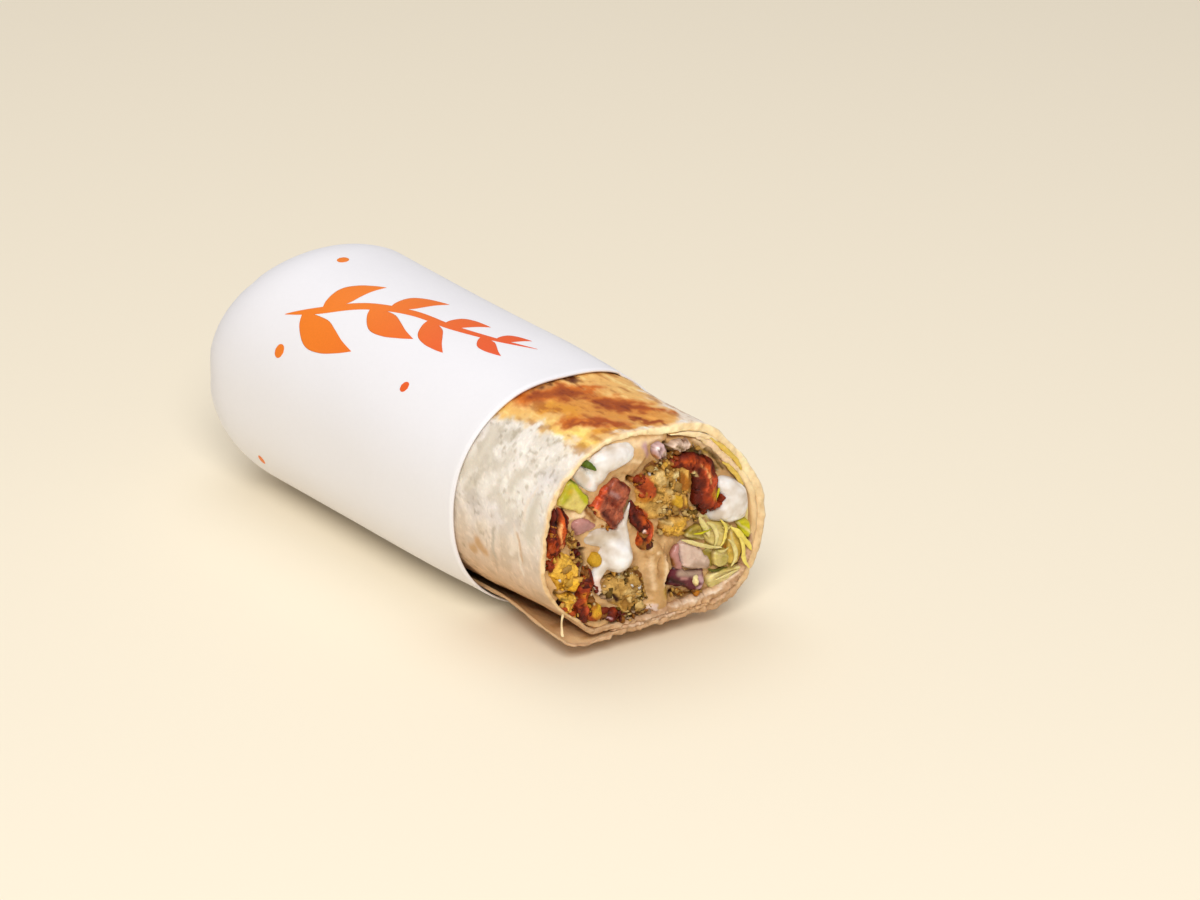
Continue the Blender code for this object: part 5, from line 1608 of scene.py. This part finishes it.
SPREAD_MARKS = (
    mark("spread_light", (-8.6, 51.0, 2.0), (-4.6, 49.8, 2.0), (2.0, 50.2, 1.0), soft=0.8, rise=0.4),
    mark("spread", (-10.0, 44.6, 2.2), (-5.4, 45.0, 3.4), (-3.2, 47.6, 3.4), soft=0.8, rise=0.9),
    mark("spread_light", (-24.6, 44.4, 2.0), (-20.6, 48.6, 2.0), (-17.0, 49.6, 1.4), soft=0.6, rise=0.6),
    mark("spread_light", (-22.4, 36.0, 1.6), (-18.4, 36.2, 1.6), soft=0.6, rise=0.6),
    mark("spread_tan", (0.6, 22.6, 4.0), (2.2, 18.6, 5.0), (1.6, 14.6, 4.2), (2.0, 10.4, 4.6), (2.4, 8.0, 3.6), soft=1.0, rise=1.5),
    mark("spread_shade", (-5.2, 23.6, 1.6), (-4.4, 21.6, 1.4), soft=0.8),
    mark("spread_olive", (3.4, 12.6, 1.4), (3.8, 11.0, 1.2), soft=0.6, rise=0.3),
    # Painted highlights: a bright spot and light streaks down the spread's soft folds.
    mark("spread_light", (1.2, 22.4, 0.9), soft=0.4, rise=0.5, gloss=1.0),
    mark("spread_light", (3.4, 20.6, 0.8), (3.6, 17.4, 1.0), (3.0, 14.4, 0.8), soft=0.6, rise=0.3, gloss=1.0),
    mark("spread_light", (-0.6, 21.4, 0.9), (-0.2, 18.0, 1.0), (0.2, 13.6, 0.8), soft=0.7, rise=0.3, gloss=0.9),
    mark("spread_shade", (1.6, 20.4, 0.7), (1.8, 16.0, 0.8), soft=0.7, rise=-0.2, gloss=0.6),
    mark("spread_light", (-7.4, 46.8, 1.2), (-4.0, 45.6, 1.0), soft=0.6, rise=0.3, gloss=0.9),
    mark("onion_lilac", (-2.4, 49.2, 1.4), (-1.4, 46.8, 1.0), soft=0.8),
    mark("onion", (-3.2, 9.2, 1.4), (0.4, 9.2, 1.4), (0.6, 8.0, 1.0), soft=0.4, rise=1.2, gloss=1.0),
    mark("gap_shade", (-6.0, 41.9, 1.4), (-5.2, 41.2, 1.0), soft=0.3, rise=-2.6),
    mark("gap_shade", (3.2, 48.2, 0.8), (4.6, 45.8, 1.3), (6.4, 44.9, 1.0), (8.8, 45.0, 1.2), soft=0.4, rise=-2.0),
    mark("gap_olive_shade", (9.6, 45.4, 0.8), (14.2, 43.0, 0.8), soft=0.5, rise=-1.0),
    mark("gap_olive_shade", (17.0, 39.8, 0.8), (18.2, 38.4, 0.8), soft=0.4, rise=-1.0),
    mark("gap_shade", (-17.2, 38.4, 1.0), (-16.6, 37.4, 0.8), soft=0.4, rise=-1.4),
    mark("brown", (-17.4, 36.8, 1.0), (-15.2, 33.8, 0.9), soft=0.5),
    mark("gap_shade", (-19.0, 27.0, 1.4), (-18.4, 25.4, 1.4), (-18.3, 23.8, 1.5), soft=0.4, rise=-2.4),
    mark("gap_shade", (-19.8, 27.0, 0.9), (-18.0, 27.2, 0.9), soft=0.4, rise=-2.0),
    mark("gap_shade", (-12.8, 19.0, 0.7), (-9.4, 19.2, 0.8), (-6.2, 20.9, 0.7), soft=0.3, rise=-2.0),
    mark("gap_olive_shade", (-25.6, 18.6, 0.8), (-24.4, 17.4, 0.8), (-20.6, 17.0, 0.7), soft=0.4, rise=-1.6),
    mark("gap_shade", (-24.4, 15.8, 0.9), (-23.8, 13.6, 0.7), soft=0.4, rise=-1.6),
    mark("gap_shade", (4.2, 13.6, 1.4), (4.8, 16.0, 1.2), soft=0.5, rise=-1.6),
    mark("brown", (6.2, 11.2, 1.4), (9.0, 9.6, 1.6), (12.0, 9.4, 1.0), soft=0.6, rise=-0.8),
    mark("gap_shade", (5.8, 10.9, 0.9), (7.0, 10.2, 0.7), soft=0.4, rise=-1.4),
    mark("gap_shade", (-6.0, 7.2, 1.0), (-3.4, 7.6, 1.0), soft=0.5, rise=-1.0),
    mark("brown", (0.0, 6.9, 0.8), (1.8, 7.0, 0.7), soft=0.5, rise=-0.6),
    mark("spread_light", (11.6, 48.0, 1.8), (15.6, 45.0, 2.2), (19.6, 41.6, 1.8), soft=0.6, rise=0.6),
    mark("gap_olive_shade", (14.0, 44.6, 0.7), (17.4, 41.6, 0.8), (19.4, 38.6, 0.7), soft=0.4, rise=-0.6),
    mark("spread_olive", (11.0, 46.4, 0.5), (15.0, 43.4, 0.5), soft=0.3),
    mark("toast_gold", (19.8, 40.8, 1.4), (22.8, 37.6, 1.6), (24.4, 34.6, 1.0), soft=0.6, rise=0.3),
    mark("spread_olive", (20.8, 38.6, 0.7), (22.8, 36.2, 0.6), (24.4, 33.6, 0.6), soft=0.35),
    mark("lettuce_pale", (13.6, 28.4, 1.4), (17.6, 26.8, 1.8), (21.4, 25.8, 1.4), soft=0.6, rise=0.4),
    mark("lettuce_pale", (25.8, 27.6, 1.2), (26.2, 23.0, 1.4), (25.6, 17.0, 1.4), (23.8, 12.6, 1.4), soft=0.6, rise=0.3),
)


def make_spread(material):
    """The bean spread: a soft face a little behind the cut, raised and pitted where strokes say."""
    count = 420
    rings = 90
    turn = np.arange(count) / count * math.tau
    share = (np.arange(1, rings + 1) / rings)[:, None]
    reach = wall_reach(turn) + 0.5
    x = reach * np.cos(turn) * share
    z = CUT_CENTRE_HEIGHT + reach * np.sin(turn) * share
    along = np.full(x.shape, 0.8)
    points = np.stack([x, along, z], -1)
    height, colour, gloss = dress(points, "spread", SPREAD_MARKS, soft_grain, 131, wander=0.35)
    points[..., 1] = np.maximum(along - height, -0.9) + 2.0 * smooth((share - 0.985) / 0.015)
    front = sheared(points[..., 0], points[..., 1], points[..., 2])
    tip = sheared(0.0, points[0, :, 1].mean(), CUT_CENTRE_HEIGHT)
    rows = [follow_roll(x[-1], z[-1], np.full(count, row)) for row in (6.0, 12.0, 32.0, 62.0, 90.0, FILLING_END)]
    back = roll_point(0.0, FILLING_END, 0.0)
    shape = np.concatenate([front.reshape(-1, 3), *rows, tip.reshape(1, 3), back.reshape(1, 3)])
    total = rings + len(rows)
    colours = np.concatenate([colour.reshape(-1, 3), np.tile(colour[-1], (len(rows), 1)), colour[0, :2]])
    glosses = np.concatenate([gloss.ravel(), np.zeros(len(rows) * count), gloss[0, :2]])
    faces = grid_faces(total, count, wrap=True)
    faces += fan_faces(0, total * count, count)
    faces += fan_faces((total - 1) * count, total * count + 1, count)
    body = Body()
    body.add(shape, faces, colours, glosses)
    return body.build("bean_spread_fill", material, "bean_spread", "spread")


# --- Floor, light and camera ---


def make_floor():
    mesh = bpy.data.meshes.new("floor")
    reach = 6.0
    mesh.from_pydata([(-reach, -reach, 0), (reach, -reach, 0), (reach, reach, 0), (-reach, reach, 0)], [], [(0, 1, 2, 3)])
    floor = bpy.data.objects.new("floor", mesh)
    bpy.context.scene.collection.objects.link(floor)
    material = bpy.data.materials.new("floor")
    material.use_nodes = True
    shader = material.node_tree.nodes["Principled BSDF"]
    set_input(shader, "Base Color", (*TONES["floor"], 1.0))
    set_input(shader, "Roughness", 0.8)
    set_input(shader, "Specular IOR Level", 0.1)
    mesh.materials.append(material)


def add_light(name, place, aim, size, power, colour):
    light = bpy.data.lights.new(name, "AREA")
    light.shape = "DISK"
    light.size = size
    light.energy = power
    light.color = colour
    lamp = bpy.data.objects.new(name, light)
    lamp.location = place
    lamp.rotation_euler = (Vector(aim) - Vector(place)).to_track_quat("-Z", "Y").to_euler()
    bpy.context.scene.collection.objects.link(lamp)


def make_lights():
    add_light("key", (-0.62, -0.85, 0.98), (0.0, -0.02, 0.02), 0.7, 12.5, (1.0, 0.985, 0.965))
    add_light("top", (0.15, 0.35, 1.2), (0.0, 0.0, 0.02), 1.0, 4.0, (1.0, 0.99, 0.99))
    world = bpy.data.worlds.new("studio")
    world.use_nodes = True
    world.node_tree.nodes["Background"].inputs["Color"].default_value = (0.97, 0.96, 1.0, 1.0)
    world.node_tree.nodes["Background"].inputs["Strength"].default_value = 0.4
    bpy.context.scene.world = world


def make_camera():
    data = bpy.data.cameras.new("camera")
    data.lens = CAMERA_LENS
    data.sensor_width = 36.0
    camera = bpy.data.objects.new("camera", data)
    look = (Vector(CAMERA_AIM) - Vector(CAMERA_PLACE)).to_track_quat("-Z", "Y").to_matrix()
    camera.matrix_world = Matrix.Translation(CAMERA_PLACE) @ (look @ Matrix.Rotation(CAMERA_ROLL, 3, "Z")).to_4x4()
    bpy.context.scene.collection.objects.link(camera)
    bpy.context.scene.camera = camera


def main():
    make_floor()
    make_lights()
    make_camera()
    bpy.context.scene.view_settings.view_transform = "Standard"
    make_sleeve(paper_material())
    make_print(painted_material("print", 0.45, 0.4, 0.02, mottle=0.04))
    make_flatbread(painted_material("flatbread", 0.62, 0.7, 0.12, scatter=0.12, wet=0.3, mottle=0.05))
    crumb = painted_material("falafel", 0.52, 0.35, 0.16, wet=0.2, shine=0.24, mottle=0.2)
    make_falafel_right(crumb)
    make_falafel_left(crumb)
    make_falafel_bottom(crumb)
    make_tomato(painted_material("tomato", 0.24, 0.5, 0.12, scatter=0.15, radius=(1.0, 0.3, 0.2), mottle=0.12))
    make_cucumber(painted_material("cucumber", 0.22, 0.6, 0.06, scatter=0.15, radius=(0.8, 1.0, 0.3), mottle=0.05))
    make_onions(painted_material("onion", 0.22, 0.8, 0.06, scatter=0.3, radius=(1.0, 0.8, 0.8), mottle=0.06))
    make_lettuce(painted_material("lettuce", 0.3, 0.6, 0.1, scatter=0.3, radius=(0.8, 1.0, 0.3), mottle=0.1))
    make_crumbs(crumb)
    make_herb(painted_material("herb", 0.45, 0.5, 0.05))
    make_sauces(painted_material("white_sauce", 0.25, 1.2, 0.03, scatter=0.5, radius=(1.0, 0.9, 0.8), mottle=0.0))
    make_spread(painted_material("bean_spread", 0.3, 0.8, 0.14, scatter=0.15, wet=0.16, mottle=0.08))


main()
